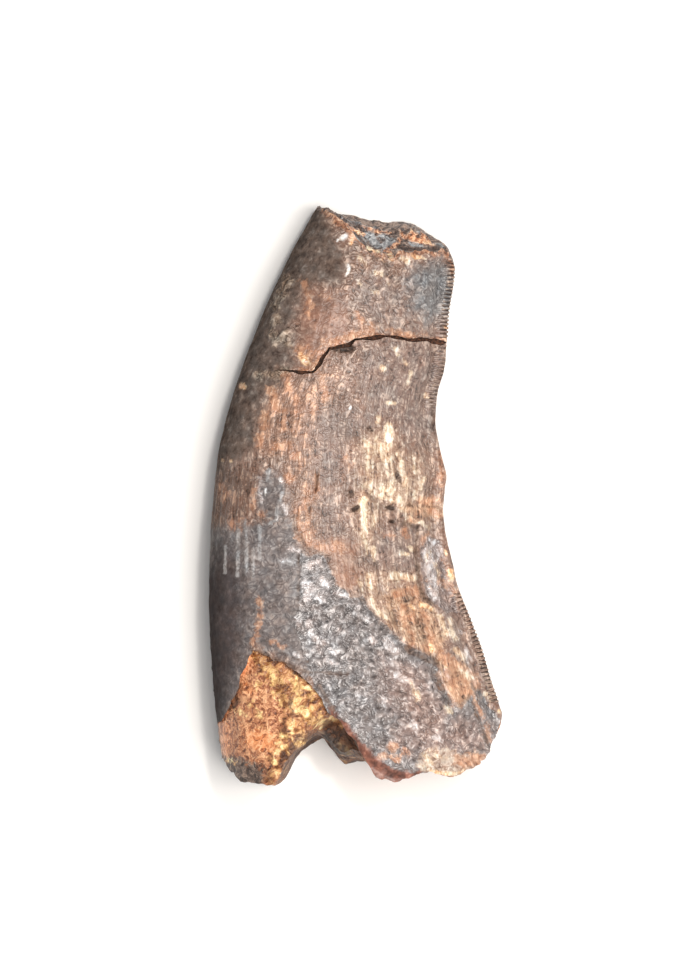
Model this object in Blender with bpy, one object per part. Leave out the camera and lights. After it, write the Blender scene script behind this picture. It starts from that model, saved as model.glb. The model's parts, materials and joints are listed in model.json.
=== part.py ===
"""A fossil tyrannosaur tooth: a recurved crown, broken at both ends, lying on its flatter side.

Lengths are in millimetres and become metres when a mesh is made. The tip points along +Y, the serrated
(distal) edge faces +X, the rounded (mesial) edge faces -X and the fuller side faces up. The origin lies on
the surface that the tooth rests on, under the middle of its outline.
"""

import math

import bmesh
import bpy
from mathutils import Vector, noise

MM = 0.001

# Crown, in plan: each edge is a smooth curve through (y, x) points.
MESIAL_EDGE = (
    (-32.0, -11.9),
    (-24.0, -12.7),
    (-18.4, -13.35),
    (-13.8, -13.7),
    (-9.3, -13.85),
    (-4.8, -13.75),
    (-0.2, -13.45),
    (4.3, -12.95),
    (8.8, -11.85),
    (13.4, -10.3),
    (17.9, -8.55),
    (22.4, -6.45),
    (27.0, -3.95),
    (32.0, -1.0),
)
DISTAL_EDGE = (
    (-32.0, 18.4),
    (-24.0, 14.8),
    (-20.1, 13.75),
    (-17.2, 12.75),
    (-14.4, 11.95),
    (-11.6, 10.9),
    (-8.7, 9.75),
    (-5.9, 9.15),
    (-3.1, 8.45),
    (-1.2, 8.25),
    (0.7, 8.4),
    (2.2, 8.55),
    (4.5, 8.0),
    (6.8, 7.6),
    (8.7, 7.6),
    (10.2, 7.8),
    (12.0, 8.35),
    (14.9, 8.65),
    (17.7, 8.85),
    (20.6, 9.3),
    (25.0, 9.6),
    (32.0, 9.7),
)
CROWN_FROM = -31.5
CROWN_TO = 30.0
STATION_STEP = 1.5

# Crown, in section. The outline is blunt along the mesial edge and pinched along the distal one, where it
# ends in a thin keel.
THICKNESS_AT_ORIGIN = 13.0
THICKNESS_TAPER = 0.145
UPPER_SHARE = 0.54
MESIAL_BLUNTNESS = 0.5
DISTAL_PINCH = 0.85
KEEL_WIDTH = 0.9
KEEL_HALF_THICKNESS = 0.5
KEEL_BLEND = 2.2
REST_FLAT_DEPTH = 0.3
FLANK_POINTS = 17
WAVINESS = 0.12
WAVE_LENGTH = 6.0
WAVE_SEED = 3.0

# Low lumps of the mesial side: x, y, radius, height.
LUMPS = (
    (-6.6, 20.5, 1.0, 0.3),
    (-7.2, 19.1, 0.9, 0.35),
    (-7.8, 16.9, 1.1, 0.35),
    (-7.1, 15.1, 0.8, 0.25),
    (-9.2, -5.5, 1.6, 0.2),
    (-11.0, 10.5, 0.9, 0.25),
)

# Denticles of the distal edge. The profile is (share of the pitch, rise), and a run is (from y, to y, rise
# left). A gap between two denticles is buried by a share of the height, and keeps a share of the width.
DENTICLE_PITCH = 0.37
DENTICLE_HEIGHT = 0.16
DENTICLE_LENGTH = 1.0
DENTICLE_HALF_WIDTH = 0.62
DENTICLE_BURIED = 0.5
DENTICLE_GAP_SHARE = 0.3
DENTICLE_PROFILE = ((0.12, 1.0), (0.62, 1.0), (0.8, 0.0), (0.94, 0.0))
DENTICLE_RUNS = ((-20.9, -8.9, 1.0), (8.6, 14.45, 0.4), (15.1, 22.5, 1.0))

# Tip break: the rims of the broken face, as (x, y) points. The far rim is under the near one.
TIP_FAR_RIM = (
    (-14.0, 30.0),
    (-3.5, 27.5),
    (-1.8, 27.15),
    (-0.2, 26.95),
    (1.4, 26.5),
    (3.0, 26.2),
    (5.4, 26.0),
    (6.8, 25.1),
    (7.8, 24.5),
    (8.6, 23.9),
    (9.1, 22.9),
    (9.45, 21.6),
    (9.8, 19.5),
    (14.0, 10.0),
)
TIP_NEAR_RIM = (
    (-14.0, 30.0),
    (-2.9, 27.1),
    (-1.3, 25.9),
    (0.4, 24.3),
    (1.3, 23.3),
    (3.2, 22.75),
    (4.6, 23.25),
    (7.4, 23.2),
    (8.3, 23.5),
    (9.0, 22.7),
    (9.4, 21.6),
    (9.8, 19.5),
    (14.0, 10.0),
)
TIP_SECTION_Y = 24.5
TIP_ROUGHNESS = 0.4

# Hollows (above 0) and ridges (below 0) of the broken face: x, share of the way from the far rim to the near
# one, their two radii, and depth.
TIP_HOLLOWS = (
    (0.2, 0.28, 1.5, 0.22, 0.8),
    (1.8, 0.45, 1.9, 0.1, -0.7),
    (2.6, 0.72, 1.5, 0.16, 0.8),
    (5.9, 0.55, 1.8, 0.12, -0.7),
    (5.4, 0.85, 1.6, 0.12, 0.5),
)

# Base break, in the same way. The gap between the leg at -X and the lobe at +X goes right through.
BASE_FAR_RIM = (
    (-20.0, -19.5),
    (-13.0, -23.9),
    (-12.5, -25.0),
    (-11.8, -26.0),
    (-10.3, -26.9),
    (-8.1, -27.4),
    (-7.2, -27.3),
    (-6.4, -26.3),
    (-5.4, -24.5),
    (-3.2, -23.0),
    (-2.2, -24.1),
    (-1.3, -25.0),
    (1.6, -25.1),
    (6.0, -24.6),
    (12.0, -23.8),
    (13.5, -22.4),
    (14.2, -20.0),
    (20.0, -12.0),
)
BASE_NEAR_RIM = (
    (-20.0, -19.5),
    (-13.0, -23.8),
    (-12.5, -24.9),
    (-11.8, -25.8),
    (-10.3, -26.6),
    (-8.3, -27.15),
    (-7.2, -26.2),
    (-6.4, -24.6),
    (-4.0, -22.7),
    (-2.8, -22.9),
    (-1.3, -24.8),
    (0.2, -24.7),
    (1.0, -25.2),
    (1.8, -26.2),
    (2.6, -26.6),
    (3.6, -26.65),
    (5.0, -26.25),
    (6.35, -25.8),
    (8.6, -26.2),
    (9.5, -26.15),
    (10.5, -25.5),
    (11.6, -25.0),
    (12.4, -24.3),
    (13.2, -23.4),
    (13.7, -22.2),
    (14.2, -20.0),
    (20.0, -12.0),
)
BASE_SECTION_Y = -24.0
BASE_ROUGHNESS = 0.3
PULP_CENTRE = (3.4, 6.6)
PULP_HALF_SIZE = (7.0, 3.2)
PULP_DEPTH = 2.4
BREAK_GRID = 0.85
BREAK_RISE = 1.06
BREAK_LUMP = 1.6
BREAK_SEED = 5.0
THINNEST_SECTION = 0.5

# Chip at the base, where the outer layer is lost: its outline, and its depth under the outer surface, which
# grows between two places in x. The well's side runs between two shares of its radius.
CHIP_OUTLINE = (
    (-9.6, -14.3),
    (-7.2, -15.35),
    (-5.4, -16.4),
    (-4.4, -17.25),
    (-3.4, -18.5),
    (-2.5, -20.0),
    (-1.65, -20.65),
    (-0.4, -22.4),
    (1.0, -24.5),
    (1.75, -25.75),
    (2.2, -29.0),
    (-17.0, -29.0),
    (-17.0, -21.6),
    (-12.6, -21.2),
    (-12.1, -20.0),
    (-11.1, -18.1),
    (-10.8, -16.8),
    (-10.1, -15.4),
)
CHIP_DEPTH_AT_RIM = 0.8
CHIP_DEPTH_AT_EDGE = 0.35
CHIP_DEEPENS = (-11.5, -5.0)
CHIP_ROUGHNESS = 0.3
CHIP_LUMP = 1.3
CHIP_SEED = 9.0
CHIP_GRID = 0.8
WELL_CENTRE = (-1.4, -24.6)
WELL_RADIUS = (3.4, 4.2)
WELL_DEPTH = 5.0
WELL_SIDE = (1.15, 0.75)

# The crack across the crown and the shallow grooves near the base, as (x, y) paths.
CRACK_PATH = (
    (10.5, 14.7),
    (8.5, 14.8),
    (5.2, 14.95),
    (3.5, 15.2),
    (0.8, 14.95),
    (-1.1, 14.8),
    (-2.6, 14.0),
    (-3.3, 12.7),
    (-3.9, 11.75),
    (-5.7, 11.9),
    (-8.8, 12.0),
)
BACK_CRACK_PATH = ((10.5, 14.7), (8.5, 14.8), (5.5, 14.3), (3.2, 14.6), (0.5, 13.6), (-1.5, 13.9))
CRACK_WIDTH = 0.36
CRACK_DEPTH = 0.75
CRACK_SHARE_AT_END = 0.35
CRACK_CLOSES = (-3.0, -8.0)
CRACK_SHARE_OF_KEEL = 0.55
GROOVE_PATHS = (((7.2, -16.3), (8.4, -18.2), (9.4, -19.9)), ((10.8, -18.7), (12.1, -21.0), (13.2, -23.4)))
GROOVE_WIDTH = 0.5
GROOVE_DEPTH = 0.25
GROOVE_RUNS_OUT = 0.8

# The patch near the base where the outermost enamel has flaked away, leaving a ledge around it.
FLAKED_OUTLINE = (
    (-5.5, -3.1),
    (-3.8, -4.95),
    (-2.9, -5.2),
    (-2.2, -7.4),
    (-0.9, -8.9),
    (0.05, -8.4),
    (1.8, -10.8),
    (4.2, -11.6),
    (7.0, -14.4),
    (9.9, -17.2),
    (11.0, -19.0),
    (12.4, -22.0),
    (13.6, -27.7),
    (1.0, -27.7),
    (-2.6, -21.8),
    (-6.3, -17.4),
    (-6.5, -12.0),
    (-6.1, -7.0),
)
FLAKED_DEPTH = 0.2
LEDGE_RISES = (-6.4, -4.2)

# Reach of the cutters.
CLEARANCE = 3.0
POCKET_MARGIN = 0.5
CUTTER_TOP = 26.0
CUTTER_BOTTOM = -6.0
BEYOND_END = 40.0

TOOTH_COLOUR = (0.125, 0.098, 0.088, 1.0)
TOOTH_ROUGHNESS = 0.42
SHARP_ANGLE = 35.0


def smooth_curve(points, at):
    """The height at `at` of a smooth curve through (place, height) points in rising order of place."""
    places = [point[0] for point in points]
    at = min(max(at, places[0]), places[-1])
    i = min(max(sum(place <= at for place in places) - 1, 0), len(points) - 2)
    slopes = []
    for j in (i, i + 1):
        before = points[max(j - 1, 0)]
        after = points[min(j + 1, len(points) - 1)]
        slopes.append((after[1] - before[1]) / (after[0] - before[0]))
    (x0, y0), (x1, y1) = points[i], points[i + 1]
    span = x1 - x0
    t = (at - x0) / span
    return (
        y0 * (2 * t**3 - 3 * t**2 + 1)
        + slopes[0] * span * (t**3 - 2 * t**2 + t)
        + y1 * (3 * t**2 - 2 * t**3)
        + slopes[1] * span * (t**3 - t**2)
    )


def ramp(value, start, end):
    """0 at start, 1 at end, eased between them."""
    t = min(max((value - start) / (end - start), 0.0), 1.0)
    return t * t * (3 - 2 * t)


def rough(x, y, z, size, seed):
    """Uneven relief between about -1 and 1, with lumps of the given size."""
    return noise.noise(Vector((x / size + seed, y / size - seed, z / size + 2 * seed)))


def mesial_x(y):
    return smooth_curve(MESIAL_EDGE, y)


def distal_x(y):
    return smooth_curve(DISTAL_EDGE, y)


def distal_outward(y):
    """The direction, in plan, square to the distal edge at y."""
    return Vector((1.0, (distal_x(y - 0.5) - distal_x(y + 0.5)))).normalized()


def thickness(y):
    return THICKNESS_AT_ORIGIN - THICKNESS_TAPER * y


def middle_z(y):
    """The height of both edges, set so that the underside is cut flat by the resting plane."""
    return (1 - UPPER_SHARE) * thickness(y) - REST_FLAT_DEPTH


def fullness(s):
    """The section's half thickness at s, from -1 on the mesial edge to 1 on the distal, 1 at its fullest."""
    s = min(max(s, -1.0), 1.0)
    fullest = (MESIAL_BLUNTNESS - DISTAL_PINCH) / (MESIAL_BLUNTNESS + DISTAL_PINCH)

    def raw(at):
        return (1 + at) ** MESIAL_BLUNTNESS * (1 - at) ** DISTAL_PINCH

    return raw(s) / raw(fullest)


def place_across(x, y):
    """Where x lies across the crown at y, from -1 on the mesial edge to 1 on the distal."""
    return 2 * (x - mesial_x(y)) / (distal_x(y) - mesial_x(y)) - 1


def half_thickness(x, y, full):
    """The section's half thickness at x, pinched to the keel distally; `full` is its greatest value."""
    thick = fullness(place_across(x, y)) * full
    inward = max(distal_x(y) - x, 0.0)
    keel = min(KEEL_HALF_THICKNESS * math.sqrt(inward / KEEL_WIDTH), thick)
    return keel + (thick - keel) * ramp(inward, KEEL_WIDTH, KEEL_BLEND)


def upper_z(x, y):
    lumps = sum(
        height * math.exp(-((x - cx) ** 2 + (y - cy) ** 2) / radius**2) for cx, cy, radius, height in LUMPS
    )
    waves = WAVINESS * rough(x, y, 0.0, WAVE_LENGTH, WAVE_SEED)
    return middle_z(y) + half_thickness(x, y, UPPER_SHARE * thickness(y) + lumps + waves)


def lower_z(x, y):
    return max(middle_z(y) - half_thickness(x, y, (1 - UPPER_SHARE) * thickness(y)), 0.0)


def add_object(name, points, faces):
    """A mesh object from points in millimetres, with every face turned outwards."""
    mesh = bpy.data.meshes.new(name)
    mesh.from_pydata([(x * MM, y * MM, z * MM) for x, y, z in points], [], faces)
    shape = bmesh.new()
    shape.from_mesh(mesh)
    bmesh.ops.recalc_face_normals(shape, faces=shape.faces)
    shape.to_mesh(mesh)
    shape.free()
    part = bpy.data.objects.new(name, mesh)
    bpy.context.scene.collection.objects.link(part)
    return part


def add_helper(name, points, faces):
    """A cutter or other operand of a Boolean, which isn't part of the object."""
    helper = add_object(name, points, faces)
    helper.hide_render = True
    helper.display_type = "WIRE"
    return helper


def combine(part, other, operation, solver="EXACT"):
    modifier = part.modifiers.new(f"{operation.lower()} {other.name}", "BOOLEAN")
    modifier.object = other
    modifier.operation = operation
    modifier.solver = solver


def rings_solid(rings):
    """The points and faces of a closed solid through rings of equally many points."""
    count = len(rings[0])
    points = [point for ring in rings for point in ring]
    faces = [tuple(range(count)), tuple(range(len(points) - count, len(points)))]
    for first in range(0, len(points) - count, count):
        for i in range(count):
            j = (i + 1) % count
            faces.append((first + i, first + j, first + count + j, first + count + i))
    return points, faces


def steps(start, end, size):
    """Evenly spaced values from start to end, about `size` apart."""
    count = max(1, round((end - start) / size))
    return [start + (end - start) * i / count for i in range(count + 1)]


def section_places(y):
    """Places across the crown at y: closer together towards the mesial edge, then on the keel's corners."""
    keel = [place_across(distal_x(y) - inward, y) for inward in (KEEL_BLEND, KEEL_WIDTH, KEEL_WIDTH / 3)]
    share = [1 - math.cos(math.pi / 2 * i / FLANK_POINTS) for i in range(FLANK_POINTS)]
    return [-1 + (keel[0] + 1) * part for part in share] + keel + [1.0]


def crown():
    """The whole crown before it broke: rings of points, each round one section of constant y."""
    rings = []
    for y in steps(CROWN_FROM, CROWN_TO, STATION_STEP):
        left, right = mesial_x(y), distal_x(y)
        across = [left + (right - left) * (s + 1) / 2 for s in section_places(y)]
        upper = [(x, y, upper_z(x, y)) for x in across]
        lower = [(x, y, lower_z(x, y)) for x in reversed(across[1:-1])]
        rings.append(upper + lower)
    return add_object("tooth", *rings_solid(rings))


def denticle_comb(name, start, end, left):
    """A run of denticles along the distal edge: a buried keel whose sides and crest rise at each tooth."""
    rings = []
    count = round((end - start) / DENTICLE_PITCH)
    for i in range(count):
        for share, rise in DENTICLE_PROFILE:
            y = start + (i + share) * DENTICLE_PITCH
            z = middle_z(y)
            edge = Vector((distal_x(y), y))
            outward = distal_outward(y)
            crest = edge + outward * DENTICLE_HEIGHT * (rise * left - DENTICLE_BURIED)
            root = edge - outward * DENTICLE_LENGTH
            deep = edge - outward * 2 * DENTICLE_LENGTH
            fullest = DENTICLE_GAP_SHARE + (1 - DENTICLE_GAP_SHARE) * rise * left
            half = DENTICLE_HALF_WIDTH * fullest
            upper = [(*crest, z + half / 2), (*root, z + half), (*deep, z)]
            lower = [(*root, z - half), (*crest, z - half / 2)]
            rings.append(upper + lower)
    return add_helper(name, *rings_solid(rings))


def break_cutter(name, far_rim, near_rim, section_y, roughness, beyond, relief):
    """Cuts a broken end. The broken face runs from the far rim at the underside to the near rim on top."""
    low_z, high_z = CUTTER_BOTTOM, CUTTER_TOP - CLEARANCE
    left, right = far_rim[0][0], far_rim[-1][0]
    rings = []
    for x in steps(left, right, BREAK_GRID):
        low, high = lower_z(x, section_y), upper_z(x, section_y)
        face = []
        for z in steps(low_z, high_z, BREAK_RISE):
            near = min(max((z - low) / max(high - low, THINNEST_SECTION), 0.0), 1.0)
            y = smooth_curve(far_rim, x) * (1 - near) + smooth_curve(near_rim, x) * near
            y += roughness * rough(x, 0.0, z, BREAK_LUMP, BREAK_SEED) + relief(x, z, near)
            face.append((x, y, z))
        rings.append([(x, beyond, low_z), *face, (x, beyond, high_z)])
    return add_helper(name, *rings_solid(rings))


def tip_hollows(x, z, near):
    """How far the hollows and ridges of the broken tip move its face along y."""
    return -sum(
        depth * math.exp(-(((x - cx) / radius) ** 2) - ((near - share) / reach) ** 2)
        for cx, share, radius, reach, depth in TIP_HOLLOWS
    )


def pulp_hollow(x, z, near):
    """The shallow dish left in the middle of the base, where the pulp cavity opens."""
    across = (x - PULP_CENTRE[0]) / PULP_HALF_SIZE[0]
    upward = (z - PULP_CENTRE[1]) / PULP_HALF_SIZE[1]
    return PULP_DEPTH * ramp(1 - across**2 - upward**2, 0.0, 1.0)


def surface_pocket(name, outline, depth_at, side=1, grid=STATION_STEP):
    """Cuts a pocket inside an outline in plan, down to depth_at(x, y) under the upper or lower surface."""
    ys = [y for _, y in outline]
    xs = [x for x, _ in outline]
    rows = steps(min(ys) - POCKET_MARGIN, max(ys) + POCKET_MARGIN, grid)
    columns = steps(min(xs) - POCKET_MARGIN, max(xs) + POCKET_MARGIN, grid)
    outside = CUTTER_TOP if side > 0 else CUTTER_BOTTOM
    surface_z = upper_z if side > 0 else lower_z
    points = []
    for y in rows:
        for x in columns:
            points.append((x, y, surface_z(x, y) - side * depth_at(x, y)))
    lid_from = len(points)
    points += [(x, y, outside) for x, y, _ in points]
    faces = []
    wide = len(columns)
    for i in range(len(rows) - 1):
        for j in range(wide - 1):
            a = i * wide + j
            quad = (a, a + 1, a + wide + 1, a + wide)
            faces.append(quad)
            faces.append(tuple(lid_from + corner for corner in reversed(quad)))
    rim = list(range(wide))
    rim += [i * wide + wide - 1 for i in range(1, len(rows))]
    rim += [(len(rows) - 1) * wide + j for j in reversed(range(wide - 1))]
    rim += [i * wide for i in reversed(range(1, len(rows) - 1))]
    for a, b in zip(rim, rim[1:] + rim[:1]):
        faces.append((a, lid_from + a, lid_from + b, b))
    pocket = add_helper(name, points, faces)
    low, high = CUTTER_BOTTOM - CLEARANCE, CUTTER_TOP + CLEARANCE
    prism = [[(x, y, z) for x, y in outline] for z in (low, high)]
    combine(pocket, add_helper(f"{name}_outline", *rings_solid(prism)), "INTERSECT")
    return pocket


def ribbon(path, width):
    """The outline of a band along a path, pointed where the path ends."""
    sides = ([], [])
    for i in range(1, len(path) - 1):
        along = Vector(path[i + 1]) - Vector(path[i - 1])
        across = Vector((-along.y, along.x)).normalized() * width / 2
        for side, sign in zip(sides, (1, -1)):
            side.append(tuple(Vector(path[i]) + across * sign))
    return [path[0], *sides[0], path[-1], *reversed(sides[1])]


def chip_depth(x, y):
    """Shallow along the mesial edge, deeper at the rim, and a well beside the gap in the base."""
    depth = CHIP_DEPTH_AT_EDGE + (CHIP_DEPTH_AT_RIM - CHIP_DEPTH_AT_EDGE) * ramp(x, *CHIP_DEEPENS)
    away = math.hypot((x - WELL_CENTRE[0]) / WELL_RADIUS[0], (y - WELL_CENTRE[1]) / WELL_RADIUS[1])
    depth += (WELL_DEPTH - depth) * ramp(away, *WELL_SIDE)
    return depth + CHIP_ROUGHNESS * rough(x, y, 0.0, CHIP_LUMP, CHIP_SEED)


def crack_depth(x, y):
    """Closing towards the mesial edge, and never through the thin keel of the distal one."""
    depth = CRACK_DEPTH * (1 - (1 - CRACK_SHARE_AT_END) * ramp(x, *CRACK_CLOSES))
    return min(depth, CRACK_SHARE_OF_KEEL * (upper_z(x, y) - middle_z(y)))


def groove_depth(x, y):
    """Running out to nothing at the distal edge."""
    return GROOVE_DEPTH * ramp(distal_x(y) - x, 0.0, GROOVE_RUNS_OUT)


def flaked_depth(x, y):
    """Full depth at the ledge, running out to nothing towards the mesial side."""
    return FLAKED_DEPTH * ramp(x, *LEDGE_RISES)


def cut_and_join(tooth):
    for i, (start, end, left) in enumerate(DENTICLE_RUNS):
        combine(tooth, denticle_comb(f"denticles_{i + 1}", start, end, left), "UNION")
    cutters = [
        break_cutter(
            "tip_break", TIP_FAR_RIM, TIP_NEAR_RIM, TIP_SECTION_Y, TIP_ROUGHNESS, BEYOND_END, tip_hollows
        ),
        break_cutter(
            "base_break",
            BASE_FAR_RIM,
            BASE_NEAR_RIM,
            BASE_SECTION_Y,
            BASE_ROUGHNESS,
            -BEYOND_END,
            pulp_hollow,
        ),
        surface_pocket("chip", CHIP_OUTLINE, chip_depth, grid=CHIP_GRID),
        surface_pocket("flaked_patch", FLAKED_OUTLINE, flaked_depth),
    ]
    for cutter in cutters:
        combine(tooth, cutter, "DIFFERENCE")
    thin_cutters = [
        surface_pocket("crack", ribbon(CRACK_PATH, CRACK_WIDTH), crack_depth),
        surface_pocket("back_crack", ribbon(BACK_CRACK_PATH, CRACK_WIDTH), crack_depth, side=-1),
    ]
    for i, path in enumerate(GROOVE_PATHS):
        thin_cutters.append(surface_pocket(f"groove_{i + 1}", ribbon(path, GROOVE_WIDTH), groove_depth))
    for cutter in thin_cutters:
        # The EXACT solver loses the body at these thin cuts.
        combine(tooth, cutter, "DIFFERENCE", solver="MANIFOLD")


def finish(tooth):
    material = bpy.data.materials.new("fossil enamel and dentine")
    material.use_nodes = True
    shader = material.node_tree.nodes["Principled BSDF"]
    shader.inputs["Base Color"].default_value = TOOTH_COLOUR
    shader.inputs["Roughness"].default_value = TOOTH_ROUGHNESS
    shader.inputs["Metallic"].default_value = 0.0
    tooth.data.materials.append(material)
    tooth.data.shade_smooth()
    tooth.data.set_sharp_from_angle(angle=math.radians(SHARP_ANGLE))


def main():
    for old in list(bpy.data.objects):
        bpy.data.objects.remove(old, do_unlink=True)
    tooth = crown()
    finish(tooth)
    cut_and_join(tooth)


main()
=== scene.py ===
"""The look of a fossil tyrannosaur tooth that lies on its flatter side.

Lengths are in millimetres and become metres when a mesh is made. The tip points along +Y, the serrated
(distal) edge faces +X and the rounded (mesial) edge faces -X.
"""

import json
import math

import bpy
import numpy as np
from bpy.props import FloatProperty, FloatVectorProperty, PointerProperty
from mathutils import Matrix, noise

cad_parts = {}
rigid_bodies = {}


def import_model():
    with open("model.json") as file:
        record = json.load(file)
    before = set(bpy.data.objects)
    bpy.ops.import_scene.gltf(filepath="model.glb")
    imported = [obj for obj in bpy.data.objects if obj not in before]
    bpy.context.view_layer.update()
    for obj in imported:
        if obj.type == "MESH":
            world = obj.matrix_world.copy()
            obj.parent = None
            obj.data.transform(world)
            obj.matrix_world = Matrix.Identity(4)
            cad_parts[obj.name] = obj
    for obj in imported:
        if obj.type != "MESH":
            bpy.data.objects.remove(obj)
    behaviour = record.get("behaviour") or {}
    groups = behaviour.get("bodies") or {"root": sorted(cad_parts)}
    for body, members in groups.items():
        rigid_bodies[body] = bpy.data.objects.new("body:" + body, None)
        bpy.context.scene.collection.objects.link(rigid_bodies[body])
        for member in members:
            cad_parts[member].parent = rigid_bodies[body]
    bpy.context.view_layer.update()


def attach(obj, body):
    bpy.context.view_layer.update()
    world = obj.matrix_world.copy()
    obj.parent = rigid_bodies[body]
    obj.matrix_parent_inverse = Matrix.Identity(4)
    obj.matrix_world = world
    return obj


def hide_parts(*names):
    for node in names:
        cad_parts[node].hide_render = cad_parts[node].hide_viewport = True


bl_info = {
    "name": "Fossil tyrannosaur tooth",
    "version": (1, 0, 0),
    "blender": (4, 5, 0),
    "location": "3D View > Sidebar > Fossil",
    "description": "Models a broken, weathered fossil tooth and the plain stage that it lies on",
    "category": "Add Mesh",
}

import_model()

MM = 0.001

# ----------------------------------------
# Form, as in the solid: the crown in plan and in section. Outlines are (x, y) points unless said otherwise.

MESIAL_EDGE = (  # y, x
    (-32.0, -11.9), (-24.0, -12.7), (-18.4, -13.35), (-13.8, -13.7), (-9.3, -13.85), (-4.8, -13.75),
    (-0.2, -13.45), (4.3, -12.95), (8.8, -11.85), (13.4, -10.3), (17.9, -8.55), (22.4, -6.45), (27.0, -3.95),
    (32.0, -1.0),
)
DISTAL_EDGE = (  # y, x
    (-32.0, 18.4), (-24.0, 14.8), (-20.1, 13.75), (-17.2, 12.75), (-14.4, 11.95), (-11.6, 10.9), (-8.7, 9.75),
    (-5.9, 9.15), (-3.1, 8.45), (-1.2, 8.25), (0.7, 8.4), (2.2, 8.55), (4.5, 8.0), (6.8, 7.6), (8.7, 7.6),
    (10.2, 7.8), (12.0, 8.35), (14.9, 8.65), (17.7, 8.85), (20.6, 9.3), (25.0, 9.6), (32.0, 9.7),
)
CROWN_FROM = -28.4
CROWN_TO = 28.4
THICKNESS_TAPER = 0.145
UPPER_SHARE = 0.54
MESIAL_BLUNTNESS = 0.5
DISTAL_PINCH = 0.85
KEEL_WIDTH = 0.9
KEEL_HALF_THICKNESS = 0.5
KEEL_BLEND = 2.2
REST_FLAT_DEPTH = 0.3

# Low lumps of the mesial side: x, y, radius, height.
LUMPS = (
    (-6.6, 20.5, 1.0, 0.3),
    (-7.2, 19.1, 0.9, 0.35),
    (-7.8, 16.9, 1.1, 0.35),
    (-7.1, 15.1, 0.8, 0.25),
    (-9.2, -5.5, 1.6, 0.2),
    (-11.0, 10.5, 0.9, 0.25),
)

# Denticles of the distal edge, in runs: from y, to y, rise left.
DENTICLE_LENGTH = 1.15
DENTICLE_HEIGHT = 0.1
DENTICLE_THICKNESS = 1.3
DENTICLE_BAND = 0.75
DENTICLE_LEFT = 0.8
DENTICLE_WIDTH_SHARE = 0.6
DENTICLE_ROUNDING_SHARE = 0.25
DENTICLE_NARROWING = 0.55
DENTICLE_RUNS = ((-19.4, -8.9, 0.9), (8.6, 14.45, 0.3), (15.1, 22.4, 1.0))

# Broken tip and base: the far rim is under the near one.
TIP_FAR_RIM = (
    (-14.0, 30.0), (-3.5, 27.5), (-1.8, 27.15), (-0.2, 26.95), (1.4, 26.5), (3.0, 26.2), (5.4, 26.0),
    (6.8, 25.1), (7.8, 24.5), (8.6, 23.9), (9.1, 22.9), (9.45, 21.6), (9.8, 19.5), (14.0, 10.0),
)
TIP_NEAR_RIM = (
    (-14.0, 30.0), (-2.9, 27.1), (-1.3, 25.9), (0.4, 24.3), (1.3, 23.3), (3.2, 22.75), (4.6, 23.25),
    (7.4, 23.2), (8.3, 23.5), (9.0, 22.7), (9.4, 21.6), (9.8, 19.5), (14.0, 10.0),
)
TIP_SECTION_Y = 24.5
# Hollows (above 0) and ridges (below 0): x, share of the way from far rim to near, radius, reach, depth.
TIP_HOLLOWS = (
    (0.2, 0.28, 1.5, 0.22, 0.8),
    (1.8, 0.45, 1.9, 0.1, -0.7),
    (2.6, 0.72, 1.5, 0.16, 0.8),
    (5.9, 0.55, 1.8, 0.12, -0.7),
    (5.4, 0.85, 1.6, 0.12, 0.5),
)
BASE_FAR_RIM = (
    (-20.0, -19.5), (-13.0, -23.9), (-12.5, -25.0), (-11.8, -26.0), (-10.3, -26.9), (-8.1, -27.4),
    (-7.2, -27.3), (-6.4, -26.3), (-5.4, -24.5), (-3.2, -23.0), (-2.2, -24.1), (-1.3, -25.0), (1.6, -25.1),
    (6.0, -24.6), (12.0, -23.8), (13.5, -22.4), (14.2, -20.0), (20.0, -12.0),
)
BASE_NEAR_RIM = (
    (-20.0, -19.5), (-13.0, -23.8), (-12.5, -24.9), (-11.8, -25.8), (-10.3, -26.6), (-8.3, -27.15),
    (-7.2, -26.2), (-6.4, -24.6), (-4.0, -22.7), (-2.8, -22.9), (-1.3, -24.8), (0.2, -24.7), (1.0, -25.2),
    (1.8, -26.2), (2.6, -26.6), (3.6, -26.65), (5.0, -26.25), (6.35, -25.8), (8.6, -26.2), (9.5, -26.15),
    (10.5, -25.5), (11.6, -25.0), (12.4, -24.3), (13.2, -23.4), (13.7, -22.2), (14.2, -20.0), (20.0, -12.0),
)
BASE_SECTION_Y = -24.0
PULP_CENTRE = (3.4, 6.6)
PULP_HALF_SIZE = (7.0, 3.2)
PULP_DEPTH = 2.4
BASE_HOLLOW = 1.2

# The chip at the base, down to the dentine, with a well beside the gap.
CHIP_OUTLINE = (
    (-9.6, -14.3), (-7.2, -15.35), (-5.4, -16.4), (-4.4, -17.25), (-3.4, -18.5), (-2.5, -20.0), (-1.65, -20.65),
    (-0.4, -22.4), (1.0, -24.5), (1.75, -25.75), (2.2, -29.0), (-17.0, -29.0), (-17.0, -21.6), (-12.6, -21.2),
    (-12.1, -20.0), (-11.1, -18.1), (-10.8, -16.8), (-10.1, -15.4),
)
CHIP_DEPTH_AT_RIM = 0.8
CHIP_DEPTH_AT_EDGE = 0.35
WELL_CENTRE = (-1.4, -24.6)
WELL_RADIUS = (3.4, 4.2)
WELL_DEPTH = 5.0

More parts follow.
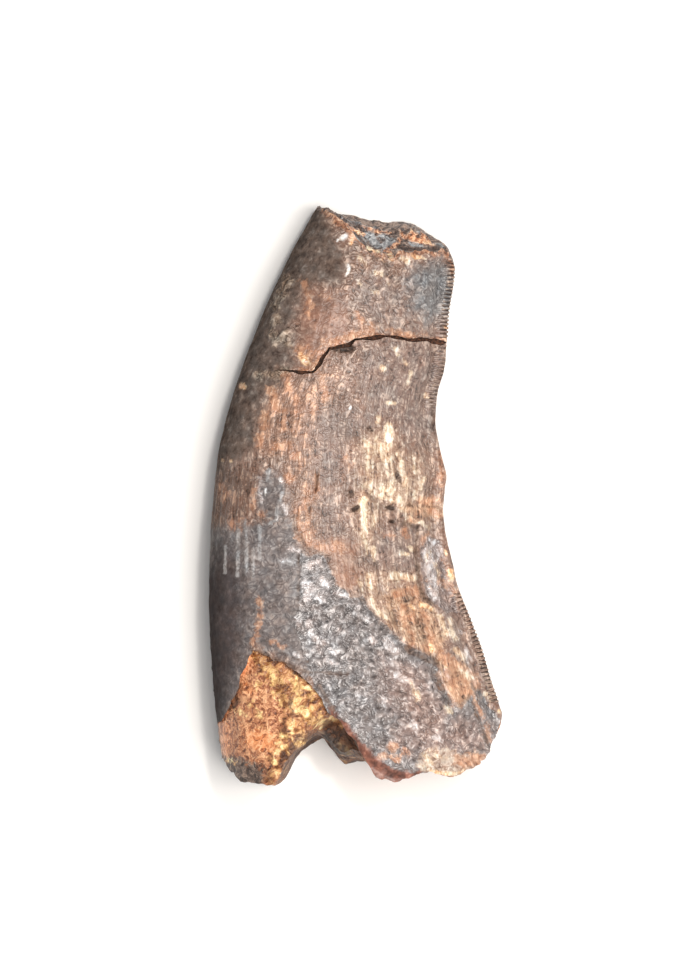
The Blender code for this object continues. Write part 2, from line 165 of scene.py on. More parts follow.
# Cracks, as paths, and grooves, as (half width, points).
CRACK_PATH = (
    (8.6, 14.7), (7.0, 14.8), (5.2, 14.95), (3.5, 15.2), (0.8, 14.95), (0.0, 14.8), (-0.5, 14.4), (-2.6, 14.0),
    (-3.3, 12.7), (-3.9, 11.75), (-5.7, 11.9), (-7.4, 12.05),
)
BACK_CRACK_PATH = ((10.5, 14.7), (8.5, 14.8), (5.5, 14.3), (3.2, 14.6), (0.5, 13.6), (-1.5, 13.9))
CRACK_DEPTH = 0.75
LENS_POCKET = (
    (-2.4, 13.95), (-1.7, 14.25), (-0.8, 14.4), (0.0, 14.2), (-0.1, 13.8), (-1.0, 13.65), (-1.7, 13.7),
)
GROOVES = (
    (0.3, (7.2, -16.3), (8.4, -18.2), (9.4, -19.9)), (0.3, (10.8, -18.7), (12.1, -21.0), (13.2, -23.4)),
)

# ----------------------------------------
# Zones of the surface, drawn as closed outlines, and strokes of (half width, points).

FLAKED_PATCH = (
    (-5.2, -5.2), (-4.4, -5.5), (-3.4, -5.2), (-2.7, -5.6), (-2.3, -7.0), (-1.9, -8.2), (-1.0, -8.7),
    (-0.4, -9.3), (0.6, -9.3), (1.5, -10.6), (2.4, -11.6), (3.6, -12.8), (4.9, -13.9), (6.4, -14.6),
    (7.3, -15.2), (7.8, -16.0), (8.4, -17.6), (9.2, -19.4), (9.9, -19.8), (10.7, -18.8), (11.6, -18.0),
    (12.6, -19.6), (13.8, -21.0), (13.6, -27.7), (1.0, -27.7), (-2.6, -21.8), (-4.2, -16.7), (-5.0, -14.6),
    (-5.7, -12.0), (-5.3, -9.8), (-5.3, -7.0),
)
ROSY_PATCH = (
    (2.4, -15.2), (6.0, -15.8), (7.6, -18.6), (9.0, -20.4), (11.6, -21.0), (12.8, -23.0), (11.4, -24.2),
    (7.0, -24.4), (3.4, -23.2), (4.2, -20.8), (2.6, -18.6),
)
DISTAL_PATCH = (
    (6.1, -4.6), (7.0, -3.7), (7.9, -4.0), (8.4, -5.2), (8.6, -7.6), (9.4, -9.4), (9.6, -10.8), (8.6, -10.8),
    (7.5, -10.1), (6.6, -9.2), (6.2, -7.2),
)
CRUST = (
    (-14.0, 30.0), (-3.0, 27.6), (-2.2, 25.5), (-1.8, 24.1), (-0.9, 23.0), (-0.9, 21.5), (-1.4, 20.0),
    (-3.4, 20.2), (-5.0, 19.6), (-5.6, 17.0), (-5.9, 15.5), (-5.6, 14.0), (-5.9, 12.7), (-7.0, 11.7),
    (-6.9, 10.8), (-8.3, 9.9), (-8.8, 8.1), (-9.3, 6.4), (-9.4, 5.0), (-10.6, 3.4), (-15.0, 2.5),
)
SLATE = (
    (-15.0, -3.3), (-11.1, -2.4), (-8.5, -2.2), (-6.3, -1.8), (-5.7, -2.9), (-4.9, -4.6), (-4.6, -6.3),
    (-4.6, -9.2), (-4.4, -13.5), (-1.7, -16.5), (-2.4, -17.6), (-5.5, -16.0), (-9.5, -14.0), (-10.0, -15.7),
    (-11.8, -19.5), (-12.4, -22.4), (-17.0, -23.0),
)
SMOOTH_CHARCOAL = (
    (-17.0, -8.4), (-13.6, -6.0), (-12.4, -3.8), (-11.2, -5.6), (-10.4, -9.4), (-10.4, -12.0), (-10.6, -15.0),
    (-11.6, -18.0), (-12.6, -22.5), (-17.0, -24.0),
)
BLUE_GREY = (
    (5.1, 21.4), (6.1, 22.0), (8.0, 22.6), (9.6, 21.0), (9.6, 17.8), (8.4, 16.8), (6.6, 16.6), (5.2, 17.7),
    (4.7, 19.6),
)
GREY_WINDOW = (
    (-9.2, 1.6), (-8.6, 2.6), (-7.6, 2.6), (-6.9, 2.0), (-6.6, 0.7), (-6.4, -1.4), (-7.1, -2.5), (-8.6, -2.1),
    (-9.5, -0.4),
)
TIP_STAIN = (
    (-5.0, 20.2), (-2.4, 19.6), (-1.0, 19.0), (-0.6, 17.0), (-0.4, 15.2), (-2.4, 14.4), (-2.8, 13.4),
    (-3.9, 11.9), (-5.6, 12.1), (-5.5, 13.7), (-5.4, 15.8), (-5.6, 17.0), (-5.3, 18.7),
)
MESIAL_STAIN = (
    (-6.6, 11.6), (-4.4, 11.2), (-2.6, 12.6), (-1.6, 11.0), (-2.6, 8.0), (-3.4, 3.0), (-3.2, -2.0),
    (-4.4, -4.4), (-5.6, -2.4), (-5.8, 0.8), (-7.0, 3.4), (-9.2, 4.8), (-8.8, 8.2), (-7.6, 10.2),
)
BROWN_STRIP = (
    (-16.0, 3.4), (-11.5, 3.0), (-9.2, 2.9), (-9.5, -1.4), (-11.4, -2.4), (-13.0, -5.6), (-16.0, -6.1),
)
TONGUE = (
    (-4.0, -4.2), (-1.2, -3.6), (0.1, -4.6), (0.4, -7.8), (-0.1, -9.2), (-1.0, -8.6), (-1.8, -8.0),
    (-2.2, -6.7), (-2.6, -5.4), (-3.4, -5.0),
)
# Duller, greyer stretches of the outer enamel.
ASH = (
    ((0.0, 12.6), (2.0, 14.6), (7.8, 14.4), (8.6, 11.0), (7.8, 6.0), (5.6, 5.4), (4.2, 6.6), (2.4, 7.6),
     (0.6, 9.0)),
    ((-4.0, 8.2), (2.0, 8.4), (2.2, 6.2), (-0.6, 5.6), (-2.0, 1.2), (-0.8, -3.8), (-3.2, -4.0), (-3.6, 3.0)),
    ((4.6, 19.6), (5.0, 16.4), (8.4, 16.6), (9.4, 14.6), (2.8, 15.6), (0.4, 17.4), (-0.2, 20.6), (2.4, 21.8)),
    ((1.0, -3.4), (5.6, -2.2), (5.8, -6.6), (3.4, -7.0), (1.6, -6.0)),
    ((8.0, -10.6), (9.2, -11.0), (10.6, -14.0), (12.0, -17.0), (11.8, -18.4), (10.4, -16.6), (8.8, -14.2)),
)
# Light cream fields down the middle of the crown: lighter enamel, with the painted highlight where the crown
# faces the light.
CREAM_FIELD = (
    ((0.6, 5.8), (2.6, 6.6), (3.8, 5.6), (4.6, 3.8), (6.4, 3.8), (6.4, -0.4), (5.0, -1.4), (2.8, -0.6),
     (2.0, -2.2), (1.6, -5.0), (0.6, -4.8), (0.2, -1.0), (0.4, 2.6)),
    ((1.0, -7.0), (5.8, -7.2), (5.8, -8.2), (2.4, -8.4), (2.8, -11.4), (1.4, -10.4), (0.4, -8.4)),
)
STRIATED_FIELD = (
    ((3.0, -8.6), (6.0, -8.4), (7.4, -10.6), (8.4, -13.6), (8.0, -15.2), (5.6, -14.0), (3.0, -12.0),
     (2.6, -10.6)),
    ((7.6, -15.3), (10.4, -15.6), (11.2, -17.8), (10.8, -19.0), (9.6, -20.0), (8.4, -17.8)),
    ((9.2, -24.2), (11.8, -24.0), (12.2, -24.8), (10.4, -25.8), (9.4, -25.2)),
    ((4.4, -0.8), (7.8, 0.2), (8.2, -1.8), (6.6, -2.0), (4.8, -2.4)),
)
# The broken wall along the gap in the base, and a shell-shaped flake beside it.
WALL = (
    (-2.4, -19.2), (-1.6, -20.3), (-0.4, -21.7), (0.7, -23.0), (1.8, -24.2), (3.2, -25.1), (5.0, -25.7),
    (6.2, -25.5), (6.0, -28.0), (1.0, -28.0), (-0.6, -23.0), (-2.4, -20.6),
)
SHELL_FLAKE = (
    (6.2, -25.2), (6.1, -24.2), (6.8, -23.5), (8.2, -23.4), (9.6, -23.9), (11.6, -23.9), (12.4, -24.6),
    (11.0, -25.9), (8.8, -26.6), (7.0, -26.2),
)
INFILL = (
    (-9.9, -14.0), (-8.1, -14.5), (-5.2, -15.8), (-1.0, -18.7), (-0.2, -20.9), (-1.4, -22.6), (-4.1, -21.4),
    (-5.2, -22.0), (-6.2, -23.1), (-6.6, -24.8), (-7.3, -26.8), (-8.6, -26.9), (-8.3, -24.4), (-7.2, -22.0),
    (-6.6, -20.4), (-7.0, -19.1), (-8.1, -17.6), (-9.4, -16.1),
)
LEG_BOTTOM = ((-14.0, -23.4), (-11.6, -24.2), (-10.2, -24.7), (-8.4, -25.1), (-8.2, -28.5), (-14.0, -28.5))
NOTCH_SIDE = (
    (-7.4, -22.6), (-6.0, -21.6), (-4.0, -21.8), (-1.0, -20.6), (1.4, -24.0), (1.0, -27.0), (-7.4, -28.0),
)

ORANGE_STROKES = (
    (0.3, (-4.7, 20.0), (-4.3, 18.3), (-4.5, 17.4)), (0.2, (-3.4, 18.9), (-2.6, 18.9)),
    # The next two strokes, along the crack's tipward lip, are partly a painted highlight on the lip.
    (0.6, (-5.2, 14.0), (-4.6, 12.9), (-4.2, 12.2)),
    (0.4, (-3.9, 12.3), (-3.4, 13.3), (-2.7, 14.3), (-1.6, 14.7), (-0.6, 15.0), (0.4, 15.4), (1.2, 15.9)),
    (0.2, (3.1, 15.9), (3.8, 15.5), (5.0, 15.3), (6.8, 15.3)), (0.2, (0.2, 17.2), (0.8, 16.6), (1.8, 16.2)),
    (0.42, (-7.9, 9.9), (-7.6, 9.2), (-7.4, 8.2)), (0.35, (-8.4, 7.8), (-8.7, 6.2), (-8.9, 5.2)),
    (0.25, (-6.4, 11.4), (-6.2, 10.2)), (0.18, (-5.6, 9.4), (-5.6, 7.8), (-5.8, 6.2)),
    (0.15, (-6.6, 8.6), (-6.8, 6.4)), (0.22, (-4.0, 9.8), (-3.9, 7.6)), (0.28, (-3.3, 11.5), (-2.9, 9.2)),
    (0.3, (-6.4, 2.4), (-6.1, 1.7)), (0.25, (-5.6, 3.8), (-5.2, 3.4)), (0.2, (-7.4, 4.6), (-6.4, 5.0)),
    (0.3, (-4.6, 1.0), (-4.6, -1.4), (-4.4, -4.2)), (0.12, (-3.7, 2.2), (-3.8, 0.0)),
    (0.25, (-5.4, -1.5), (-5.2, -3.9)), (0.45, (-3.6, -4.6), (-1.5, -4.8)), (0.2, (-0.8, 3.6), (-0.4, 3.0)),
    (0.22, (-11.7, -2.2), (-11.6, -2.7)), (0.1, (-10.8, -2.2), (-10.9, -2.8)),
    (0.18, (-8.8, -1.3), (-8.7, -1.9)), (0.12, (-9.3, 1.2), (-9.6, 0.0), (-9.6, -1.0)),
    (0.3, (-12.6, 1.0), (-12.2, 0.0)), (0.3, (5.8, -0.4), (7.6, -0.3)), (0.35, (7.0, -1.2), (7.7, -1.7)),
    (0.25, (5.2, -2.0), (6.2, -1.2)), (0.18, (7.9, 4.4), (8.2, 2.6), (8.0, 0.6)),
    (0.2, (4.6, -3.2), (4.9, -3.8)), (0.15, (2.9, -3.6), (3.5, -3.6)), (0.35, (4.0, -9.2), (5.6, -8.8)),
    (0.2, (4.4, -10.2), (4.6, -12.4)), (0.22, (5.2, -9.8), (5.4, -12.0), (5.4, -13.8)),
    (0.32, (6.4, -10.8), (6.8, -12.4), (7.2, -14.4)),
    (0.4, (7.8, -14.6), (9.2, -15.8), (10.6, -16.4), (11.3, -17.6)),
    (0.55, (8.8, -16.6), (9.3, -17.8), (9.8, -18.8)), (0.3, (10.2, -16.6), (10.5, -18.2)),
    (0.16, (11.0, -18.4), (11.8, -20.4), (12.4, -21.9), (13.0, -23.6)),
    (0.13, (7.7, -16.4), (8.5, -18.2), (9.4, -20.0)), (0.35, (2.6, -24.0), (3.8, -24.6)),
    (0.25, (3.3, -23.2), (3.6, -23.4)), (0.2, (4.6, -23.6), (4.8, -23.7)), (0.55, (9.8, -24.6), (11.6, -24.6)),
    (0.2, (-9.1, -9.6), (-8.9, -10.6), (-9.2, -12.6)), (0.25, (-9.6, -13.6), (-9.2, -14.3)),
    (0.2, (-7.6, -13.6), (-7.0, -13.9)), (0.22, (8.4, -5.8), (9.1, -8.4), (9.8, -9.8)),
    (0.2, (6.6, -3.4), (6.3, -4.4)), (0.16, (7.6, -6.6), (8.2, -8.2)), (0.14, (6.5, -7.6), (7.0, -8.2)),
)
# Light cream strokes, most of them in the same band: lighter enamel, with painted highlights.
CREAM_STROKES = (
    (0.24, (4.35, 22.6), (4.9, 22.3)), (0.2, (2.2, 7.5), (2.3, 7.2)), (0.18, (5.6, -18.4), (5.8, -18.8)),
    (0.22, (-4.9, 13.0), (-4.5, 12.6)), (0.42, (3.1, 6.6), (3.1, 5.4), (2.9, 4.6)),
    (0.4, (2.2, 4.9), (2.6, 3.9), (3.0, 3.6)), (0.2, (0.9, 5.4), (1.2, 5.0)), (0.12, (1.9, 5.6), (1.8, 4.2)),
    (0.12, (1.2, 4.4), (1.1, 2.2)), (0.1, (1.6, 3.4), (1.5, 1.4)), (0.12, (3.3, 3.4), (3.5, 2.2)),
    (0.18, (3.9, 4.1), (4.4, 3.3), (4.5, 1.9)), (0.22, (4.7, 1.8), (4.9, 0.4)), (0.12, (5.4, 3.6), (5.6, 2.2)),
    (0.35, (3.4, 1.5), (3.3, 0.7)), (0.25, (2.4, 0.9), (3.4, 0.3)), (0.3, (1.0, 1.2), (1.6, 0.6)),
    (0.2, (2.2, 0.1), (3.4, -0.2)), (0.26, (4.2, 0.0), (4.4, -1.2)), (0.22, (5.5, 0.4), (5.6, -0.1)),
    (0.12, (6.4, 1.8), (6.2, 0.6)), (0.4, (0.7, -0.3), (0.9, -1.6)), (0.26, (0.8, -2.0), (0.9, -3.8)),
    (0.12, (1.7, -1.6), (1.8, -2.6)), (0.18, (0.9, -4.2), (1.1, -5.2)), (0.16, (1.7, -4.6), (1.8, -5.8)),
    (0.13, (4.6, -1.5), (4.8, -2.0)), (0.13, (6.2, -2.3), (6.9, -2.9)), (0.16, (4.4, -5.3), (4.8, -5.4)),
    (0.12, (5.0, -4.6), (5.3, -4.9)), (0.15, (2.4, 12.4), (2.6, 12.0)), (0.14, (3.8, 14.0), (3.9, 13.3)),
    (0.12, (4.5, 13.0), (4.8, 12.6)), (0.12, (5.2, 11.8), (5.0, 10.8)), (0.16, (3.1, 8.9), (3.7, 8.9)),
    (0.13, (6.6, 9.7), (6.8, 9.5)), (0.32, (3.6, -7.3), (5.5, -7.6)), (0.2, (1.2, -7.2), (1.3, -8.6)),
    (0.18, (1.5, -8.6), (1.6, -10.0), (2.0, -10.8)), (0.18, (2.2, -10.6), (2.8, -11.3)),
    (0.2, (0.4, -7.9), (0.6, -8.6)), (0.22, (8.0, -11.2), (8.5, -12.8)), (0.14, (7.6, -6.2), (7.8, -7.4)),
    (0.12, (6.6, -6.0), (6.9, -5.2)), (0.2, (8.9, -11.6), (9.4, -13.4)), (0.22, (9.4, -14.2), (10.2, -15.2)),
    (0.25, (9.8, -16.2), (10.8, -17.0)), (0.2, (8.5, -19.6), (9.0, -20.2)), (0.2, (5.2, -17.4), (5.8, -18.8)),
    (0.16, (12.3, -18.5), (12.8, -19.0)), (0.22, (6.5, -24.1), (7.0, -24.9)),
    (0.16, (7.6, -24.2), (8.6, -24.4)), (0.16, (6.5, -25.2), (7.6, -25.8), (9.0, -26.0), (10.2, -25.7)),
    (0.14, (0.3, 22.6), (1.0, 21.8)), (0.14, (1.8, 21.3), (1.9, 21.0)), (0.14, (2.5, 21.3), (2.6, 21.0)),
    (0.1, (0.3, 20.4), (0.5, 20.0)), (0.12, (3.0, 20.4), (3.2, 20.2)), (0.12, (1.4, 19.6), (2.2, 19.3)),
    (0.14, (6.0, 22.7), (6.6, 22.6)), (0.1, (-4.3, 19.0), (-4.0, 18.8)),
)
# Brown strokes of painted shade: along the distal edge, beside creases and below the border of the flaked
# patch.
BROWN_SHADE_STROKES = (
    (0.5, (8.4, 12.4), (7.8, 9.0), (7.8, 6.2), (8.2, 4.4)), (0.3, (8.6, -2.4), (9.4, -5.6), (10.2, -9.6)),
    (0.3, (11.4, -13.4), (12.4, -16.4), (13.4, -19.4)), (0.5, (13.8, -20.6), (13.6, -22.6), (12.8, -24.4)),
    (0.7, (5.4, -14.4), (7.4, -15.4)), (0.4, (5.7, -4.6), (5.9, -8.4)), (0.4, (4.2, -2.2), (5.6, -2.4)),
)
# Light silvery strokes and white glints on the pebbled enamel: painted highlights.
GLINT_STROKES = (
    (0.12, (8.9, -11.4), (9.4, -13.0)), (0.13, (10.2, -14.8), (10.8, -16.0)),
    (0.16, (10.8, -16.4), (11.3, -17.6)), (0.22, (8.5, -16.3), (8.8, -17.0)),
    (0.34, (-4.8, -7.8), (-4.2, -8.6), (-4.6, -9.3)), (0.26, (-3.2, -7.6), (-2.5, -8.3)),
    (0.32, (-4.3, -6.3), (-3.4, -6.0)), (0.25, (-3.7, -9.3), (-3.0, -9.6)), (0.13, (-2.0, -8.8), (-1.0, -9.2)),
    (0.1, (-6.8, -5.9), (-5.8, -5.9)), (0.15, (-6.2, -4.7), (-5.4, -5.0)),
    (0.26, (-4.4, -11.6), (-4.1, -12.8), (-3.4, -13.4)), (0.16, (-5.6, -11.4), (-5.2, -11.8)),
    (0.13, (-3.7, -14.0), (-2.9, -13.7)), (0.2, (-2.4, -14.2), (-1.8, -14.6)),
    (0.12, (-2.8, -15.2), (-1.6, -15.6)), (0.14, (-5.8, -14.6), (-5.0, -15.0)),
    (0.22, (1.0, -11.4), (1.4, -11.8)), (0.16, (1.4, -13.2), (1.8, -13.6)), (0.4, (3.0, -13.6), (3.8, -14.6)),
    (0.25, (3.4, -15.2), (3.9, -15.6)), (0.3, (3.9, -16.6), (5.2, -17.3)), (0.16, (2.6, -18.8), (2.5, -19.9)),
    (0.12, (0.2, -18.2), (0.8, -18.6)), (0.22, (5.2, -21.0), (5.8, -21.8)), (0.16, (7.4, -22.4), (8.0, -22.8)),
    (0.5, (6.9, -5.4), (7.4, -8.8)), (0.16, (6.4, -5.7), (6.6, -5.0), (7.2, -4.6)),
    (0.15, (7.5, -4.9), (7.9, -5.8)), (0.35, (6.8, -6.4), (7.2, -7.2)), (0.25, (7.0, -8.6), (7.6, -9.4)),
    (0.25, (6.9, -4.0), (7.3, -4.2)), (0.13, (10.3, -14.2), (10.9, -15.4)), (0.13, (9.9, -12.6), (10.4, -12.8)),
    (0.16, (-6.8, -0.7), (-6.4, -1.4)), (0.08, (-8.9, 1.8), (-9.1, 0.8), (-8.8, -0.4)),
    (0.1, (-7.6, 2.2), (-6.9, 1.6)),
)
# Near-white spots where the enamel shines: painted glints.
WHITE_GLINTS = (
    (0.14, (-1.75, 24.15), (-1.4, 24.4)), (0.22, (-1.35, 24.4), (-0.95, 24.7)),
    (0.17, (-0.7, 21.8), (-0.62, 21.5), (-0.7, 21.2)), (0.11, (-0.7, 21.2), (-0.95, 20.8)),
    (0.2, (3.1, 5.8), (3.1, 5.3)), (0.1, (-8.4, 0.8), (-8.4, 0.2)), (0.09, (-0.5, 8.5), (-0.55, 8.35)),
    (0.1, (-4.75, 12.8), (-4.6, 12.7)),
)
GOLDEN_SPOTS = (
    (0.28, (-10.8, 10.5), (-10.7, 10.5)), (0.13, (-11.85, 3.4), (-11.8, 3.4)),
    (0.1, (-12.5, 3.5), (-12.5, 3.55)), (0.16, (8.5, -5.1), (8.6, -5.4)), (0.25, (8.9, -7.0), (9.1, -7.7)),
    (0.24, (6.2, -10.1), (7.1, -10.4)), (0.16, (5.2, -10.2), (5.4, -10.5)), (0.14, (7.0, -13.8), (7.2, -14.4)),
    (0.16, (8.4, 16.3), (8.7, 16.1)), (0.13, (8.5, 15.4), (8.5, 15.2)), (0.34, (-5.1, 13.4), (-4.7, 12.7)),
    (0.2, (1.2, 23.5), (2.1, 23.2)), (0.22, (3.1, 22.95), (3.4, 22.5)), (0.18, (3.3, 25.6), (3.8, 25.4)),
    (0.15, (5.2, 25.5), (5.5, 25.3)), (0.15, (0.1, 25.1), (0.6, 24.9)), (0.14, (6.6, 24.2), (7.2, 24.0)),
    (0.13, (-0.2, 24.4), (-0.4, 23.9)), (0.14, (5.4, 22.8), (6.2, 22.6)), (0.12, (13.5, -20.1), (13.6, -20.3)),
    (0.1, (7.0, -25.6), (8.4, -25.95), (9.8, -25.8)),
)
# Pits, carved a little and painted dark as the shade in them.
DARK_STROKES = (
    (0.17, (-0.45, 0.7), (-0.35, 0.3)), (0.17, (-0.35, -1.15), (0.25, -0.85)),
    (0.22, (3.05, -0.9), (3.5, -1.0)), (0.1, (3.2, -2.2), (3.6, -2.3)), (0.16, (3.9, 2.2), (4.2, 1.6)),
    (0.12, (1.2, 6.5), (1.6, 6.3)), (0.12, (-6.4, 16.1), (-6.2, 16.0)), (0.09, (-5.9, 16.1), (-5.3, 16.4)),
    (0.14, (10.1, -18.7), (10.2, -18.8)), (0.14, (2.1, -19.6), (2.6, -19.8)),
)
# Thin dark lines in grooves and along the borders of the flaked patches: carved a little, and painted dark as
# the shade in them.
CREASES = (
    (0.08, (1.0, 0.4), (2.1, -0.4), (2.9, -0.9)), (0.08, (-5.6, 14.3), (-5.2, 13.6)),
    (0.09, (5.0, -0.7), (6.4, -0.8), (7.7, -0.9)),
    (0.12, (4.1, -2.1), (4.5, -2.45), (4.9, -2.35), (5.4, -2.75)),
    (0.2, (5.9, -2.8), (5.7, -5.2), (5.9, -7.6), (6.4, -9.4), (7.3, -10.1)),
    (0.1, (-5.8, -2.6), (-4.9, -4.2), (-4.3, -4.9), (-3.4, -5.1), (-2.7, -5.5), (-2.4, -6.6)),
    (0.09, (-5.35, -5.4), (-5.35, -9.6)),
    (0.1, (-0.2, -9.2), (0.5, -9.4), (1.4, -10.5), (2.2, -11.6), (3.4, -12.8), (4.4, -13.5)),
    (0.3, (4.8, -14.1), (6.2, -15.0), (7.6, -15.6)), (0.17, (7.2, -15.9), (8.0, -17.6), (8.9, -19.4)),
    (0.1, (10.8, -18.9), (11.5, -20.6), (12.2, -22.4), (12.6, -23.6)),
    (0.13, (-9.9, -14.1), (-8.2, -14.8), (-6.0, -15.8), (-4.4, -16.3), (-2.8, -16.4), (-0.8, -16.5)),
    (0.08, (-7.6, -14.3), (-5.6, -15.1), (-4.4, -15.4)), (0.2, (-3.4, -17.6), (-2.6, -19.0), (-2.0, -19.9)),
    (0.07, (-0.9, 23.1), (-0.2, 22.9), (0.6, 22.9), (1.4, 22.8), (2.4, 22.4), (3.4, 21.6)),
    (0.12, (6.9, -14.6), (7.6, -15.3)), (0.1, (3.6, 3.3), (3.8, 2.4)), (0.1, (5.1, 3.2), (5.2, 2.5)),
    (0.08, (-4.5, -0.6), (-4.4, -1.3)), (0.07, (-3.5, 2.6), (-3.7, 1.0), (-3.8, -0.4)),
    (0.14, (7.3, 9.4), (7.4, 6.4)), (0.07, (2.0, -5.8), (2.2, -8.4)), (0.06, (6.2, -11.0), (6.4, -13.4)),
    (0.06, (5.7, -10.6), (5.9, -13.2)), (0.06, (3.4, -9.4), (3.5, -11.8)),
)
# Narrow glossy ridges on the mesial side, which stand a little proud; their pale grey is a painted glint.
RIDGES = (
    (0.15, (-11.0, -3.0), (-11.1, -7.3)), (0.15, (-10.3, -2.2), (-10.2, -6.9)),
    (0.15, (-9.6, -4.8), (-9.6, -7.4)), (0.15, (-9.0, -2.6), (-9.0, -5.9)), (0.15, (-8.2, 2.6), (-8.3, 1.6)),
    (0.15, (-7.4, -0.9), (-7.4, -2.2), (-8.0, -2.4)), (0.15, (-12.2, -4.6), (-12.3, -7.0)),
    (0.15, (-6.9, 0.4), (-7.0, -0.2)),
)
# Paths of crumbly lumps.
LUMP_TRAIL = (
    ((-6.4, 20.6), (-7.0, 19.2), (-7.4, 18.6), (-7.6, 17.2), (-7.5, 16.6)),
    ((-7.9, 15.6), (-7.2, 14.6), (-6.6, 15.4), (-6.2, 14.6)),
    ((-9.2, 11.7), (-8.6, 11.8), (-7.8, 11.6), (-6.6, 12.0)),
)
LUMP_TRAIL_HALF_WIDTH = 0.38

# The broken faces: strokes on the tip's face and in the chip.
TIP_GREY = (
    (0.3, (5.2, 24.0), (6.4, 23.8)), (0.3, (-0.2, 24.6), (0.2, 24.0)), (0.3, (7.4, 24.7), (8.2, 23.9)),
    (0.5, (-1.4, 26.7), (0.6, 26.2), (2.2, 25.9)), (0.5, (0.9, 24.9), (1.6, 24.3), (2.2, 23.9)),
    (0.45, (2.6, 24.6), (3.4, 24.2), (2.8, 23.7)), (0.3, (4.4, 25.6), (6.4, 25.4)),
)
TIP_ORANGE = (
    (0.16, (2.0, 25.2), (2.9, 25.2), (3.6, 25.0)), (0.14, (0.6, 25.6), (1.4, 25.4)),
    (0.16, (4.0, 25.5), (4.4, 25.2)), (0.14, (0.2, 23.4), (1.2, 22.9), (2.6, 22.6)),
    (0.14, (6.4, 25.0), (7.0, 24.7)), (0.2, (-2.8, 26.9), (-1.8, 26.3), (-1.0, 25.6), (0.2, 25.1), (0.8, 24.9)),
    (0.3, (-1.0, 25.0), (-0.6, 24.2), (-0.1, 23.5)), (0.18, (3.2, 23.6), (4.0, 24.0), (4.2, 24.4)),
    (0.24, (4.6, 24.8), (5.6, 24.4), (7.2, 24.0)), (0.18, (5.2, 25.3), (5.6, 24.9)),
    (0.22, (2.9, 23.3), (3.6, 22.6)), (0.16, (8.3, 23.4), (8.8, 22.8)),
)
TIP_DARK = (
    (0.14, (-2.2, 27.0), (-0.8, 26.1), (0.3, 25.7)), (0.12, (0.1, 24.8), (0.8, 24.0), (1.2, 23.3)),
    (0.1, (-0.2, 23.6), (-0.5, 23.1)), (0.26, (4.2, 23.7), (5.4, 23.4), (6.8, 23.4), (7.8, 23.6)),
    (0.14, (2.2, 25.6), (2.9, 25.5)), (0.1, (4.2, 25.2), (4.8, 25.0)), (0.09, (1.2, 23.2), (2.4, 23.0)),
)
CHIP_GOLD = (
    (0.4, (-9.3, -14.9), (-8.8, -15.3)), (0.42, (-8.5, -15.6), (-7.8, -16.4), (-7.4, -17.4)),
    (0.34, (-7.3, -18.1), (-6.7, -18.3), (-6.9, -19.2)), (0.42, (-5.7, -17.2), (-5.2, -17.8), (-5.6, -19.0)),
    (0.4, (-5.1, -19.9), (-4.6, -20.4), (-4.1, -20.8)), (0.26, (-3.3, -20.4), (-3.3, -21.3), (-2.5, -20.8)),
    (0.15, (-6.6, -22.4), (-6.2, -22.2)), (0.24, (-6.9, -23.4), (-6.6, -23.6)),
    (0.2, (-5.4, -22.9), (-4.9, -23.0)), (0.2, (-7.7, -25.9), (-7.7, -26.6)),
    (0.14, (-7.6, -24.6), (-7.2, -24.9)), (0.2, (-9.8, -19.3), (-9.5, -19.8)),
    (0.22, (-9.2, -20.4), (-8.8, -21.2)), (0.16, (-11.0, -20.0), (-10.6, -20.2)),
    (0.12, (-8.9, -16.9), (-9.2, -17.6)), (0.14, (-4.4, -18.2), (-4.0, -18.9)),
    (0.12, (-12.0, -24.9), (-11.6, -24.9)), (0.3, (-0.9, -23.6), (-0.7, -23.9)),
    (0.14, (-1.6, -23.3), (-1.4, -23.5)),
)
CHIP_EMBER = (
    (0.4, (-12.2, -21.4), (-12.2, -24.0)), (0.3, (-10.4, -16.4), (-10.1, -15.2)),
    (0.3, (-10.4, -17.4), (-9.8, -18.2)), (0.8, (-9.6, -22.6), (-8.2, -23.0)),
)
# Painted shade in the chip: along its rims, in a crack and beside the notch.
CHIP_SHADE = (
    (0.22, (-11.4, -18.6), (-11.0, -19.2), (-11.9, -19.8)), (0.13, (-6.2, -18.4), (-6.0, -19.6), (-5.9, -20.8)),
    (0.1, (-10.6, -17.4), (-11.3, -18.3)), (0.1, (-4.9, -19.2), (-4.6, -19.5)),
    (0.16, (-3.4, -17.9), (-2.7, -19.4), (-2.2, -20.2)),
    (0.5, (-2.6, -21.4), (-1.6, -22.2), (-0.4, -23.0), (0.4, -24.0)), (0.16, (-5.9, -16.2), (-5.0, -16.8)),
)
# A block deep in the gap, painted dark for the shadow of the lobe's overhang.
SHADOWED_BLOCK = ((1.0, (-2.0, -22.4), (-1.2, -24.5)),)

# The underside is drawn in the same way, as seen through the tooth from above.
UNDER_CRUST = (
    (-15.0, 29.0), (-1.0, 27.0), (-1.4, 22.0), (-3.6, 17.0), (-5.4, 12.0), (-6.6, 6.0), (-7.6, 0.0),
    (-8.6, -6.0), (-10.6, -11.0), (-16.0, -13.0),
)
UNDER_SLATE = ((-3.0, 18.6), (-0.6, 20.6), (2.8, 20.0), (4.0, 17.4), (1.8, 15.8), (-1.6, 16.2))
UNDER_CHARCOAL = ((-17.0, -5.0), (-12.0, -6.4), (-10.4, -9.6), (-9.6, -13.4), (-11.6, -16.4), (-17.0, -17.4))
UNDER_PATCH = (
    (-16.0, -13.5), (-9.0, -11.0), (-5.0, -12.6), (-1.6, -10.2), (2.4, -12.6), (4.6, -16.0), (8.8, -17.4),
    (12.0, -21.0), (14.0, -29.0), (-16.0, -29.0),
)
